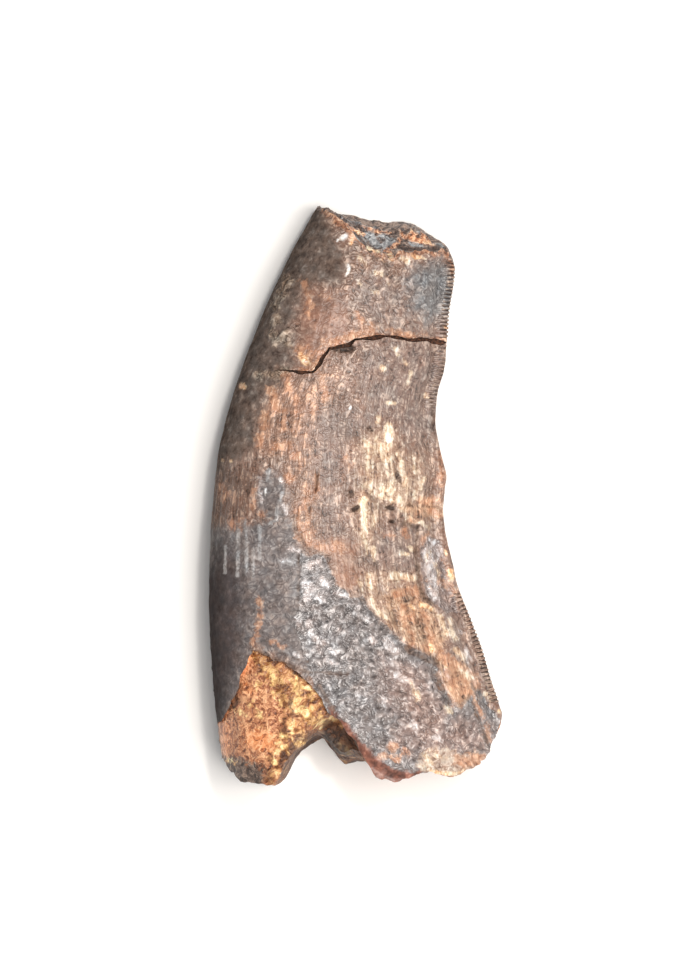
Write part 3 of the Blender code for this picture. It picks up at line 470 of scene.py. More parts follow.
UNDER_ORANGE_STROKES = (
    (0.7, (-2.0, 12.0), (-2.6, 5.0), (-3.0, -2.0)), (0.5, (2.0, 10.0), (2.4, 3.0)),
    (0.8, (4.6, -4.0), (5.4, -9.0)), (1.0, (-9.0, -21.0), (-3.0, -23.5), (6.0, -23.0)),
)
# The first strokes reach through from above.
UNDER_CREAM_STROKES = (
    *CREAM_STROKES[:4], (0.6, (0.4, 7.0), (0.2, 0.0), (0.6, -6.0)), (0.5, (3.6, 1.0), (4.2, -5.0)),
    (0.4, (5.0, 12.0), (5.2, 7.0)),
)
UNDER_GOLDEN_SPOTS = ((0.35, (-4.6, 9.0), (-4.5, 9.0)), (0.4, (7.6, -10.0), (7.8, -10.6)))
UNDER_DARK_STROKES = ((0.35, (1.6, -2.0), (2.2, -2.4)), (0.2, (-0.6, 4.4), (-0.5, 3.4)))

# ----------------------------------------
# Relief, in millimetres. Lumps are (size, height, seed), and a seed only moves the noise to another place.

WAVES = ((6.0, 0.12, 3.0),)
EDGE_LUMPS = ((0.9, 0.2, 11.0), (0.4, 0.1, 12.0))
SKIN_LUMPS = ((1.6, 0.05, 21.0), (0.7, 0.03, 22.0))
PEBBLES = ((0.75, 1.0, 23.0), (0.42, 0.6, 24.0))
PEBBLE_HEIGHT = 0.18
PEBBLE_SINK = 0.07
CRUMBS = ((0.9, 1.0, 28.0), (0.5, 0.5, 29.0))
CRUMB_HEIGHT = 0.35
CRUMB_SINK = 0.3
CRUMB_REACH = 0.6
PIT_LUMPS = ((0.35, 0.06, 27.0),)
LENS_LUMPS = ((0.4, 0.05, 30.0),)
DENTICLE_LUMPS = ((0.7, 0.25, 31.0),)
CREST_LUMPS = ((0.9, 0.8, 33.0),)
UNDERSIDE_LUMPS = ((3.5, 1.4, 34.0),)
# Lines along the crown: width, share of the real length, height, seed.
LINES = ((0.62, 0.12, 1.0, 25.0), (0.4, 0.2, 0.6, 26.0))
LINE_HEIGHT = 0.06
SMOOTHED_SHARE = 0.7
LEDGE_FADE = (-5.6, -4.4)
LIP_REACH = 0.7
LIP_RISE = 0.09
LIP_SINK = 0.05
REST_FADE = 1.2

CHIP_SLOPE = (-11.5, -5.0)
WELL_SLOPE = (1.15, 0.75)
FIBRE_LUMPS = ((1.3, 0.18, 9.0), (0.5, 0.12, 10.0))
# Stones are broken grains: size and seed.
CHIP_STONES = (1.15, 4.0)
TIP_STONES = (0.9, 8.0)
MARKED_STONES = (0.9, 4.0)
STONE_EDGE = 0.3
STONE_RISE = 0.16
STONE_UNEVENNESS = 0.2
STONE_SINK = 0.1
TIP_CRAGS = ((1.6, 0.4, 5.0), (0.7, 0.22, 6.0))
TIP_GRIT = ((0.35, 0.12, 7.0),)
TIP_UNEVENNESS = 0.25
BASE_CRAGS = ((1.6, 0.3, 5.0), (0.7, 0.2, 6.0))
BASE_GRIT = ((0.35, 0.1, 7.0),)
HOLLOW_LUMPS = ((3.2, 1.0, 37.0),)

# The cuts: how far their cutters reach past the tooth, and how their outlines wander from side to side.
TIP_SPAN = (-8.0, 12.0)
BASE_SPAN = (-16.0, 17.0)
BREAK_HEIGHTS = (-2.0, 18.0)
BREAK_REACH = 30.0
POCKET_MARGIN = 0.5
POCKET_REACH = 24.0
PRISM_HEIGHTS = (-28.0, 42.0)
PRISM_STEPS = 70
WALL_LUMPS_X = ((1.3, 0.22, 35.0),)
WALL_LUMPS_Y = ((1.3, 0.22, 36.0),)
JAG_SPACING = 0.3
JAG_SIZES = ((0.8, 1.0), (0.35, 0.6))
CHIP_JAG = (0.16, 40.0)
CRACK_JAG = (0.1, 41.0)
# The crack is narrow, opens in places and on the distal side, and closes towards its mesial end.
CRACK_WIDTH = 0.2
CRACK_WIDENING = 0.2
CRACK_LUMPS = ((1.2, 1.0, 42.0),)
CRACK_SPACING = 0.35
CRACK_END_SHARE = 0.35
CRACK_MOST_SHARE = 0.55
MERGE_WITHIN = 0.002
SHARP_FROM = math.radians(50)

# Points of the crown's surface: samples of a section, its girth over the top and under it, and how much
# further apart the points underneath are.
SECTION_SAMPLES = 361
UPPER_GIRTH = 31.0
LOWER_GIRTH = 24.0
LOWER_COARSENESS = 1.7

FAR_INSIDE = 2.0
MIDDLE_OF_TOP = (-2.0, 5.0, 13.0)

# ----------------------------------------
# Stage, in metres but for the view's centre and plane, and the sensor's width in millimetres. Lamps: name,
# place, size, power, colour.

FLOOR_SIZE = 4.0
ROOM_COLOUR = "#f7f8fb"
ROOM_LIGHT = 0.36
LAMPS = (
    ("key", (0.15, -0.06, 0.6), 0.34, 4.2, "#fffaf5"),
    ("sparkle", (0.1, 0.12, 0.62), 0.05, 1.2, "#fffaf4"),
)
CAMERA_HEIGHT = 0.9
VIEW_CENTRE = (-0.52, 1.51)
VIEW_PLANE = 6.0
IMAGE_HEIGHT = 963
MM_PER_PIXEL = 0.0945
SENSOR_WIDTH = 36.0
CAMERA_SEES_TO = 10.0


# ----------------------------------------
# Numbers: curves, distances and uneven relief, all on arrays.


def smooth_curve(points, at):
    """Heights at `at` of a smooth curve through (place, height) points in rising order of place."""
    places, heights = np.array(points).T
    order = np.arange(len(places))
    before, after = np.maximum(order - 1, 0), np.minimum(order + 1, len(places) - 1)
    slopes = (heights[after] - heights[before]) / (places[after] - places[before])
    at = np.clip(at, places[0], places[-1])
    i = np.clip(np.searchsorted(places, at, side="right") - 1, 0, len(places) - 2)
    span = places[i + 1] - places[i]
    t = (at - places[i]) / span
    return (
        heights[i] * (2 * t**3 - 3 * t**2 + 1)
        + slopes[i] * span * (t**3 - 2 * t**2 + t)
        + heights[i + 1] * (3 * t**2 - 2 * t**3)
        + slopes[i + 1] * span * (t**3 - t**2)
    )


def ramp(value, start, end):
    """0 at start, 1 at end, eased between them."""
    t = np.clip((value - start) / (end - start), 0.0, 1.0)
    return t * t * (3 - 2 * t)


def rough(x, y, z, size, seed):
    """Uneven relief between about -1 and 1, with lumps of the given size."""
    x, y, z = np.broadcast_arrays(x, y, z)
    places = np.stack([x / size + seed, y / size - seed, z / size + 2 * seed], -1)
    heights = [noise.noise(place) for place in places.reshape(-1, 3).tolist()]
    return np.array(heights).reshape(x.shape)


def lumpy(x, y, z, lumps, folded=False):
    """Uneven relief with lumps of several sizes. Folded, it has creases between lumps that only rise."""
    reliefs = [(height, rough(x, y, z, size, seed)) for size, height, seed in lumps]
    return sum(height * (np.abs(relief) if folded else relief) for height, relief in reliefs)


def blocks(x, y, z, size, seed):
    """Broken grains of one size: the distance to the gap between two of them, and a tone for each."""
    x, y, z = np.broadcast_arrays(x, y, z)
    places = np.stack([x / size + seed, y / size - seed, z / size], -1).reshape(-1, 3)
    gaps, tones = [], []
    for place in places.tolist():
        distances, centres = noise.voronoi(place)
        gaps.append((distances[1] - distances[0]) * size)
        tones.append(noise.cell(centres[0] * 7.3))
    return np.array(gaps).reshape(x.shape), np.array(tones).reshape(x.shape)


def path_distance(x, y, path):
    """How far each place is from a path, in plan."""
    nearest = np.full(np.shape(x), np.inf)
    for (x0, y0), (x1, y1) in zip(path, path[1:]):
        along = (x - x0) * (x1 - x0) + (y - y0) * (y1 - y0)
        share = np.clip(along / ((x1 - x0) ** 2 + (y1 - y0) ** 2), 0.0, 1.0)
        nearest = np.minimum(nearest, np.hypot(x - x0 - share * (x1 - x0), y - y0 - share * (y1 - y0)))
    return nearest


def depth_inside(x, y, outline):
    """How far inside an outline each place is, in plan, and below 0 outside."""
    closed = (*outline, outline[0])
    inside = np.zeros(np.shape(x), bool)
    for (x0, y0), (x1, y1) in zip(closed, closed[1:]):
        if y0 != y1:
            crosses = (y0 > y) != (y1 > y)
            inside ^= crosses & (x < (x1 - x0) * (y - y0) / (y1 - y0) + x0)
    return path_distance(x, y, closed) * np.where(inside, 1.0, -1.0)


def zone(x, y, outlines=(), strokes=()):
    """How far inside any of the outlines or strokes each place is, kept within a few millimetres."""
    depth = np.full(np.shape(x), -FAR_INSIDE)
    for outline in outlines:
        depth = np.maximum(depth, depth_inside(x, y, outline))
    for half_width, *path in strokes:
        depth = np.maximum(depth, half_width - path_distance(x, y, path))
    return np.clip(depth, -FAR_INSIDE, FAR_INSIDE)


# ----------------------------------------
# Form of the tooth.


def mesial_x(y):
    return smooth_curve(MESIAL_EDGE, y)


def distal_x(y):
    return smooth_curve(DISTAL_EDGE, y)


def thickness(y):
    return bpy.context.scene.tooth_sizes.thickness / MM - THICKNESS_TAPER * y


def middle_z(y):
    """The height of the two edges above the floor."""
    return (1 - UPPER_SHARE) * thickness(y) - REST_FLAT_DEPTH


def fullness(s):
    """The section's half thickness at s, from -1 on the mesial edge to 1 on the distal, 1 at its fullest."""
    s = np.clip(s, -1.0, 1.0)
    fullest = (MESIAL_BLUNTNESS - DISTAL_PINCH) / (MESIAL_BLUNTNESS + DISTAL_PINCH)
    peak = (1 + fullest) ** MESIAL_BLUNTNESS * (1 - fullest) ** DISTAL_PINCH
    return (1 + s) ** MESIAL_BLUNTNESS * (1 - s) ** DISTAL_PINCH / peak


def half_thickness(x, y, full):
    """The section's half thickness at x, pinched to the keel near the distal edge; `full` is its greatest."""
    place = 2 * (x - mesial_x(y)) / (distal_x(y) - mesial_x(y)) - 1
    thick = fullness(place) * full
    inward = np.maximum(distal_x(y) - x, 0.0)
    keel = np.minimum(KEEL_HALF_THICKNESS * np.sqrt(inward / KEEL_WIDTH), thick)
    return keel + (thick - keel) * ramp(inward, KEEL_WIDTH, KEEL_BLEND)


def upper_z(x, y):
    lumps = sum(
        height * np.exp(-((x - cx) ** 2 + (y - cy) ** 2) / radius**2) for cx, cy, radius, height in LUMPS
    )
    waves = lumpy(x, y, 0.0, WAVES)
    return middle_z(y) + half_thickness(x, y, UPPER_SHARE * thickness(y) + lumps + waves)


def lower_z(x, y):
    return np.maximum(middle_z(y) - half_thickness(x, y, (1 - UPPER_SHARE) * thickness(y)), 0.0)


def section_points(y, upper_count, lower_count):
    """Evenly spaced points round one section of the crown, from the mesial edge over the top and back under."""
    shares = (1 - np.cos(np.linspace(0, np.pi, SECTION_SAMPLES))) / 2
    across = mesial_x(y) + (distal_x(y) - mesial_x(y)) * shares
    ring = []
    for surface, count in ((upper_z, upper_count), (lower_z, lower_count)):
        heights = surface(across, np.full_like(across, y))
        lengths = np.concatenate([[0.0], np.cumsum(np.hypot(np.diff(across), np.diff(heights)))])
        at = np.linspace(0, lengths[-1], count + 1)
        side_x, side_z = np.interp(at, lengths, across), np.interp(at, lengths, heights)
        side = np.stack([side_x, np.full(count + 1, y), side_z], -1)
        ring.append(side if surface is upper_z else side[::-1])
    return np.concatenate([ring[0][:-1], ring[1][:-1]])


def outward_normals(rings):
    """The outward directions of closed rings of points, an array of rows x columns x 3."""
    around = np.roll(rings, -1, axis=1) - np.roll(rings, 1, axis=1)
    along = np.gradient(rings, axis=0)
    normals = np.cross(along, around)
    normals /= np.maximum(np.linalg.norm(normals, axis=2, keepdims=True), 1e-9)
    outward = np.sum(normals * (rings - rings.mean(axis=1, keepdims=True)), axis=2).mean()
    return normals * np.sign(outward)


def straightened(x, y, z):
    """Places measured from the middle of the section: what runs along the tooth has a constant x and z."""
    return x - (mesial_x(y) + distal_x(y)) / 2, y, z - middle_z(y)


def weathering(x, y, z):
    """Pebbles, fine lines and crumbs of the outer surface, in millimetres."""
    above = z > middle_z(y)
    patches = np.where(above, zone(x, y, (FLAKED_PATCH, DISTAL_PATCH)), zone(x, y, (UNDER_PATCH,)))
    patches = patches + lumpy(x, y, z, EDGE_LUMPS)
    relief = lumpy(x, y, z, SKIN_LUMPS)
    pebbles = lumpy(x, y, z, PEBBLES, folded=True)
    relief += (PEBBLE_HEIGHT * pebbles - PEBBLE_SINK) * ramp(patches, 0.0, 0.4)

    side, along, height = straightened(x, y, z)
    lines = sum(
        rise * rough(side, along * share, height, width, seed) for width, share, rise, seed in LINES
    )
    smooth = ramp(np.where(above, zone(x, y, (SLATE, CRUST)), zone(x, y, (UNDER_CRUST,))), -0.3, 0.5)
    relief += LINE_HEIGHT * lines * (1 - ramp(patches, -0.2, 0.3)) * (1 - SMOOTHED_SHARE * smooth)

    trail = CRUMB_REACH - np.min([path_distance(x, y, path) for path in LUMP_TRAIL], axis=0)
    crumbs = lumpy(x, y, z, CRUMBS, folded=True)
    relief += np.where(above, CRUMB_HEIGHT * (crumbs - CRUMB_SINK) * ramp(trail, -0.5, 0.3), 0.0)
    return relief


def outer_relief(x, y, z):
    """How far the weathered outer surface stands proud of the smooth crown, in millimetres."""
    above = z > middle_z(y)
    edge = lumpy(x, y, z, EDGE_LUMPS)
    flaked = np.where(above, zone(x, y, (FLAKED_PATCH,)), zone(x, y, (UNDER_PATCH,))) + edge
    ledge = ramp(x, *LEDGE_FADE) * ramp(flaked, -0.1, 0.15)
    relief = weathering(x, y, z) - bpy.context.scene.tooth_sizes.flake_depth / MM * ledge
    # How far inside a carved place each point is, where its slope starts and ends, and its rise.
    carved = (
        (zone(x, y, (DISTAL_PATCH,)) + edge, -0.1, 0.15, -0.1),
        (zone(x, y, (WALL,)), -0.05, 0.9, -0.7),
        (zone(x, y, (SHELL_FLAKE,)), -0.05, 0.35, -0.2),
        (zone(x, y, (), DARK_STROKES) + lumpy(x, y, z, PIT_LUMPS), -0.12, 0.15, -0.3),
        (zone(x, y, (), CREASES), -0.14, 0.1, -0.1),
        (zone(x, y, (), GROOVES), -0.15, 0.2, -0.2),
        (zone(x, y, (), RIDGES), -0.25, 0.1, 0.08),
        (zone(x, y, (LENS_POCKET,)) + lumpy(x, y, z, LENS_LUMPS), -0.08, 0.12, -0.3),
    )
    for depth, start, end, rise in carved:
        relief += np.where(above, rise * ramp(depth, start, end), 0.0)
    lip = np.exp(-((path_distance(x, y, CRACK_PATH) / LIP_REACH) ** 2))
    relief += np.where(above, lip * np.where(tipward_of_crack(x, y), LIP_RISE, -LIP_SINK), 0.0)
    return relief * ramp(z, 0.0, REST_FADE)


def tipward_of_crack(x, y):
    return y > smooth_curve(CRACK_PATH[::-1], x)


def chip_depth(x, y):
    """Shallow along the mesial edge, deeper at the rim, and a well beside the gap in the base."""
    depth = CHIP_DEPTH_AT_EDGE + (CHIP_DEPTH_AT_RIM - CHIP_DEPTH_AT_EDGE) * ramp(x, *CHIP_SLOPE)
    away = np.hypot((x - WELL_CENTRE[0]) / WELL_RADIUS[0], (y - WELL_CENTRE[1]) / WELL_RADIUS[1])
    depth = depth + (WELL_DEPTH - depth) * ramp(away, *WELL_SLOPE)
    gaps, tones = blocks(x, y, 0.0, *CHIP_STONES)
    granular = ramp(zone(x, y, (INFILL,)), -0.2, 0.4)
    stones = STONE_RISE * ramp(gaps, 0.0, STONE_EDGE) + STONE_UNEVENNESS * tones
    fibres = lumpy(x, y, 0.0, FIBRE_LUMPS)
    return depth + STONE_SINK - granular * stones - (1 - granular) * fibres


def crack_depth(x, y):
    """Closing towards the mesial edge, and never through the thin keel of the distal one."""
    depth = CRACK_DEPTH * (CRACK_END_SHARE + (1 - CRACK_END_SHARE) * ramp(x, -8.0, -3.0))
    return np.minimum(depth, CRACK_MOST_SHARE * (upper_z(x, y) - middle_z(y)))


def crack_widths(x, y):
    opening = ramp(lumpy(x, y, 0.0, CRACK_LUMPS), -0.3, 0.4)
    widths = CRACK_WIDTH + CRACK_WIDENING * opening
    widths *= (0.5 + 0.5 * ramp(x, -6.5, -4.5)) * (1 + 0.5 * ramp(x, 4.0, 5.5))
    return widths


def tip_relief(x, z, near):
    """How far the tip's broken face lies off the surface between its rims."""
    hollows = sum(
        depth * np.exp(-(((x - cx) / radius) ** 2) - ((near - share) / reach) ** 2)
        for cx, share, radius, reach, depth in TIP_HOLLOWS
    )
    crags = lumpy(x, 0.0, z, TIP_CRAGS)
    tones = blocks(x, 0.0, z, *TIP_STONES)[1]
    crags += lumpy(x, 0.0, z, TIP_GRIT) + TIP_UNEVENNESS * tones
    return crags * (0.3 + 0.7 * ramp(near, 0.0, 0.25)) - hollows


def base_relief(x, z, near):
    """The same for the base, which is hollowed between its rims and has a dish where the pulp was."""
    across = (x - PULP_CENTRE[0]) / PULP_HALF_SIZE[0]
    upward = (z - PULP_CENTRE[1]) / PULP_HALF_SIZE[1]
    dish = PULP_DEPTH * ramp(1 - across**2 - upward**2, 0.0, 1.0)
    hollow = BASE_HOLLOW * 4 * near * (1 - near) * (0.6 + lumpy(x, 0.0, z, HOLLOW_LUMPS))
    return dish + lumpy(x, 0.0, z, BASE_CRAGS) + np.maximum(hollow, 0.0) + lumpy(x, 0.0, z, BASE_GRIT)


# ----------------------------------------
# Mesh work.


def deselect():
    if bpy.context.object and bpy.context.object.mode != "OBJECT":
        bpy.ops.object.mode_set(mode="OBJECT")
    bpy.ops.object.select_all(action="DESELECT")


def set_points(piece, points):
    piece.data.vertices.foreach_set("co", (np.asarray(points) * MM).ravel())
    piece.data.update()


def points_of(piece):
    places = np.empty(len(piece.data.vertices) * 3)
    piece.data.vertices.foreach_get("co", places)
    return places.reshape(-1, 3) / MM


def edit_whole(*steps):
    """Runs mesh operators, each with its settings, on the whole of the active piece."""
    bpy.ops.object.mode_set(mode="EDIT")
    for operator, settings in steps:
        bpy.ops.mesh.select_all(action="SELECT")
        operator(**settings)
    bpy.ops.object.mode_set(mode="OBJECT")


MERGE_DOUBLES = (bpy.ops.mesh.remove_doubles, {"threshold": MERGE_WITHIN * MM})
TURN_FACES_OUT = (bpy.ops.mesh.normals_make_consistent, {"inside": False})


def close_sheet(outward):
    """Gives the active sheet its thickness along `outward`, in millimetres."""
    move = {"value": [step * MM for step in outward]}
    edit_whole(
        (bpy.ops.mesh.extrude_region_move, {"TRANSFORM_OT_translate": move}), MERGE_DOUBLES, TURN_FACES_OUT
    )


def add_sheet(name, points):
    """A grid whose points are moved to `points`, an array of rows x columns x 3."""
    rows, columns = points.shape[:2]
    deselect()
    bpy.ops.mesh.primitive_grid_add(x_subdivisions=columns - 1, y_subdivisions=rows - 1, size=1.0)
    sheet = bpy.context.object
    sheet.name = name
    places = points_of(sheet) * MM + 0.5
    column = np.rint(places[:, 0] * (columns - 1)).astype(int)
    row = np.rint(places[:, 1] * (rows - 1)).astype(int)
    set_points(sheet, points[row, column])
    return sheet


def add_prism(name, outline):
    """A tall closed prism on an outline, with uneven walls."""
    low, high = PRISM_HEIGHTS
    deselect()
    bpy.ops.mesh.primitive_circle_add(vertices=len(outline), fill_type="NGON")
    prism = bpy.context.object
    prism.name = name
    set_points(prism, [(x, y, low) for x, y in outline])
    bpy.ops.object.mode_set(mode="EDIT")
    bpy.ops.mesh.select_all(action="SELECT")
    step = {"value": (0, 0, (high - low) / PRISM_STEPS * MM)}
    for _ in range(PRISM_STEPS):
        bpy.ops.mesh.extrude_region_move(TRANSFORM_OT_translate=step)
    bpy.ops.object.mode_set(mode="OBJECT")
    edit_whole(MERGE_DOUBLES, TURN_FACES_OUT)
    x, y, z = points_of(prism).T
    set_points(prism, np.stack([x + lumpy(x, y, z, WALL_LUMPS_X), y + lumpy(x, y, z, WALL_LUMPS_Y), z], -1))
    return prism


def combine(piece, other, operation):
    """Joins or cuts one closed mesh with another, which is then removed."""
    deselect()
    bpy.context.view_layer.objects.active = piece
    piece.select_set(True)
    modifier = piece.modifiers.new(f"{operation.lower()} {other.name}", "BOOLEAN")
    modifier.object = other
    modifier.operation = operation
    modifier.solver = "MANIFOLD"
    modifier.material_mode = "TRANSFER"
    bpy.ops.object.modifier_apply(modifier=modifier.name)
    bpy.data.objects.remove(other, do_unlink=True)
    if not piece.data.polygons:
        raise RuntimeError(f"{modifier.name} left nothing of {piece.name}")


def jagged(path, amount, seed, closed=True):
    """A path with points added along it, each moved a little from side to side."""
    corners = np.array((*path, path[0]) if closed else path, float)
    lengths = np.concatenate([[0.0], np.cumsum(np.hypot(*np.diff(corners, axis=0).T))])
    count = max(2, round(lengths[-1] / JAG_SPACING))
    at = np.linspace(0, lengths[-1], count, endpoint=not closed)
    x, y = np.interp(at, lengths, corners[:, 0]), np.interp(at, lengths, corners[:, 1])
    lumps = [(size, height, seed + i) for i, (size, height) in enumerate(JAG_SIZES)]
    x = x + amount * lumpy(x, y, 0.0, lumps)
    y = y + amount * lumpy(x, y, 5.0, lumps)
    return np.stack([x, y], -1)


def ribbon(path, widths):
    """The outline of a band along a path, pointed where the path ends."""
    along = path[2:] - path[:-2]
    across = np.stack([-along[:, 1], along[:, 0]], -1) / np.hypot(*along.T)[:, None]
    half = np.asarray(widths)[1:-1, None] / 2
    left, right = path[1:-1] + across * half, path[1:-1] - across * half
    return np.concatenate([path[:1], left, path[-1:], right[::-1]])


def pocket(name, outline, depth_at, spacing, side=1):
    """A cutter for a pocket inside an outline, down to depth_at(x, y) under the upper or lower surface."""
    outline = np.asarray(outline)
    low, high = outline.min(axis=0) - POCKET_MARGIN, outline.max(axis=0) + POCKET_MARGIN
    counts = np.ceil((high - low) / spacing).astype(int) + 1
    x, y = np.meshgrid(np.linspace(low[0], high[0], counts[0]), np.linspace(low[1], high[1], counts[1]))
    surface = upper_z(x, y) if side > 0 else lower_z(x, y)
    z = surface - side * depth_at(x, y)
    cutter = add_sheet(name, np.stack([x, y, z], -1))
    close_sheet((0, 0, side * POCKET_REACH))
    combine(cutter, add_prism(f"{name}_outline", outline), "INTERSECT")
    return cutter


def broken_face(far_rim, near_rim, section_y, span, relief):
    """The broken face of one end, as rows of points across the tooth, from under it to above it."""
    spacing = bpy.context.scene.tooth_sizes.break_spacing / MM
    xs = np.arange(span[0], span[1] + spacing, spacing)
    zs = np.arange(*BREAK_HEIGHTS, spacing)
    x, z = np.meshgrid(xs, zs)
    low, high = lower_z(x, section_y), upper_z(x, section_y)
    near = np.clip((z - low) / np.maximum(high - low, 0.5), 0.0, 1.0)
    y = smooth_curve(far_rim, x) * (1 - near) + smooth_curve(near_rim, x) * near
    return np.stack([x, y + relief(x, z, near), z], -1)


# ----------------------------------------
# Materials.


def linear(code):
    """A colour written as sRGB hex, in linear light and with full opacity."""
    shares = [int(code[i : i + 2], 16) / 255 for i in (1, 3, 5)]
    return (*(s / 12.92 if s <= 0.04045 else ((s + 0.055) / 1.055) ** 2.4 for s in shares), 1.0)


# Where the four colours of a finish lie between the low places of its pattern and the high ones.
STOPS = (0.0, 0.36, 0.66, 1.0)


def add_node(tree, kind, inputs=None, output=0, colours=(), **settings):
    """Adds a node with its settings, links and ramp colours, and returns one of its outputs."""
    node = tree.nodes.new(f"ShaderNode{kind}")
    for key, value in settings.items():
        setattr(node, key, value)
    for key, value in (inputs or {}).items():
        if isinstance(value, bpy.types.NodeSocket):
            tree.links.new(value, node.inputs[key])
        else:
            node.inputs[key].default_value = value
    if colours:
        stops = node.color_ramp.elements
        stops[0].color, stops[1].color = colours[0], colours[-1]
        for place, colour in zip(STOPS[1:-1], colours[1:-1]):
            stops.new(place).color = colour
    return node.outputs[output]


# Layers of the enamel's finish, from the lowest to the top one. Each has its attribute, its pattern, the
# colours from the pattern's low places to its high ones, its roughness and specular level, the pattern's
# height in mm, the softness of its edge in mm and its cover.
# In every finish the colours run from dark in the pattern's low places to light on its high ones: partly the
# grain's own tone, partly painted shade in the fine hollows and painted highlights and glints on the tops.
ENAMEL_LAYERS = (
    ("tip_stain", "soft", ("#543b2f", "#845f4e", "#8e6b5a", "#be917a"), 0.42, 0.4, 0.05, 1.2, 0.85),
    # The brown strip's own stain, and painted shade along the distal edge and beside creases.
    ("umber", "streaks", ("#33241b", "#6c4f40", "#745e53", "#ab8b75"), 0.42, 0.25, 0.05, 0.8, 0.85),
    ("stain", "streaks", ("#4b372c", "#8d6955", "#a07e6b", "#e6b594"), 0.42, 0.5, 0.07, 1.2, 0.75),
    ("ash", "local", ("#443933", "#7e6c66", "#897a72", "#bfada2"), 0.42, 0.5, 0.06, 1.1, 0.6),
    # Lighter enamel with a painted highlight down the middle of the crown.
    ("cream_field", "streaks", ("#5a4436", "#ac8a72", "#c6a88e", "#fae4ca"), 0.38, 0.5, 0.08, 1.0, 0.65),
    ("striated", "streaks", ("#452f22", "#aa8366", "#c8a486", "#fedcba"), 0.38, 0.5, 0.09, 0.5, 0.85),
    ("tongue", "local", ("#7a5a48", "#a07660", "#ac8874", "#c8a48e"), 0.45, 0.4, 0.03, 0.4, 0.7),
    ("slate", "worms", ("#54504f", "#6f6968", "#7b7574", "#a09a97"), 0.4, 0.2, 0.02, 0.7, 0.93),
    ("charcoal", "soft", ("#403736", "#4f4746", "#574e4d", "#6a605f"), 0.5, 0.03, 0.003, 1.4, 0.98),
    ("crust", "soft", ("#3b312d", "#62564f", "#756860", "#a4978d"), 0.6, 0.02, 0.05, 0.9, 0.94),
    ("tan_lumps", "worms", ("#3e332b", "#82705f", "#a6917e", "#dccab6"), 0.5, 0.3, 0.1, 0.3, 0.75),
    ("blue_grey", "worms", ("#4e5154", "#696e71", "#7b8184", "#a6acb0"), 0.38, 0.4, 0.06, 1.2, 0.8),
    ("pebbled", "pebbles", ("#413c3b", "#746e6d", "#8b8685", "#c9c4c3"), 0.3, 0.5, 0.13, 0.15, 0.96),
    ("rosy", "pebbles", ("#5a3e34", "#937264", "#b08e80", "#f6dccc"), 0.3, 0.5, 0.13, 1.6, 0.5),
    ("wall", "soft", ("#3e2218", "#764838", "#945f4c", "#c08e78"), 0.45, 0.4, 0.02, 0.2, 0.92),
    ("shell", "worms", ("#7a6254", "#b89a86", "#cab2a0", "#f2e2ce"), 0.3, 0.5, 0.02, 0.3, 0.85),
    # Painted highlights and glints on the pebbled enamel.
    ("silver", "pebbles", ("#7c6e6b", "#c4b6b1", "#ded7d5", "#ffffff"), 0.24, 0.6, 0.12, 0.18, 0.85),
    ("orange", "streaks", ("#84583f", "#c08a68", "#cc9a7a", "#fac9a4"), 0.34, 0.5, 0.05, 0.3, 0.7),
    # Light strokes, partly painted highlights.
    ("cream", "streaks", ("#8e6c54", "#dcbc9c", "#f8e8cc", "#fffff6"), 0.3, 0.5, 0.06, 0.17, 0.85),
    # Painted shade in the creases.
    ("crease", "worms", ("#2a1b13", "#4a3426", "#5c4636", "#7c6250"), 0.55, 0.3, 0.03, 0.12, 0.72),
    # Painted glints on the glossy ridges.
    ("glaze", "worms", ("#807a78", "#9c9a99", "#b4b2b1", "#d0d0d0"), 0.24, 0.6, 0.02, 0.09, 0.75),
    ("golden", "worms", ("#b4764c", "#f0b887", "#ffdcae", "#fff6d8"), 0.3, 0.5, 0.04, 0.12, 0.88),
    # Painted glints.
    ("white", "worms", ("#dccfc0", "#f8f2ea", "#ffffff", "#ffffff"), 0.3, 0.5, 0.01, 0.09, 1.0),
    # A painted highlight along the tip's broken rim and the crack's tipward lip.
    ("rim", "worms", ("#42230f", "#9c6240", "#c88e68", "#f6ceaa"), 0.34, 0.5, 0.08, 0.25, 0.65),
    ("crest", "worms", ("#6a584c", "#94806f", "#ac9684", "#d6c2ae"), 0.4, 0.4, 0.02, 0.14, 0.75),
    # Painted shade in the pits, the gaps between the denticles and the crack's opening.
    ("pit_shade", "worms", ("#1c1512", "#2e231e", "#3e302a", "#5e4a40"), 0.6, 0.2, 0.02, 0.1, 0.85),
)
ENAMEL_FINISH = ("#43342c", "#8b6b5a", "#988073", "#e4c8b4")
ENAMEL_ROUGHNESS = 0.42
ENAMEL_SPECULAR = 0.5
ENAMEL_RISE = 0.09
# Streaks: width and length, as multiples of their spacing.
STREAKS = ((0.8, 6.0), (0.5, 1.8), (1.6, 9.0))
# Noises, in lumps per millimetre: the wandering edges of the layers, their soft mottling, and slow changes
# of brightness and of cast.
ENAMEL_NOISES = {
    "edge": {"Scale": 1.1, "Detail": 5.0, "Roughness": 0.65},
    "soft": {"Scale": 1.3, "Detail": 4.0, "Roughness": 0.55},
    "mottle": {"Scale": 0.4, "Detail": 4.0, "Roughness": 0.6},
    "rust": {"Scale": 0.75, "Detail": 4.0, "Roughness": 0.65},
}
GREY_CAST = (0.95, 1.0, 1.04, 1.0)
RUSTY_CAST = (1.08, 0.985, 0.93, 1.0)


def new_material(name, ior, roughness=0.5):
    """A material with a Principled shader."""
    material = bpy.data.materials.new(name)
    material.use_nodes = True
    shader = material.node_tree.nodes["Principled BSDF"]
    shader.inputs["IOR"].default_value = ior
    shader.inputs["Roughness"].default_value = roughness
    return material, material.node_tree, shader


def millimetres_in(tree):
    """The places on the tooth in millimetres."""
    places = add_node(tree, "TexCoord", output="Object")
    return add_node(tree, "Mapping", {"Vector": places, "Scale": (1 / MM,) * 3})


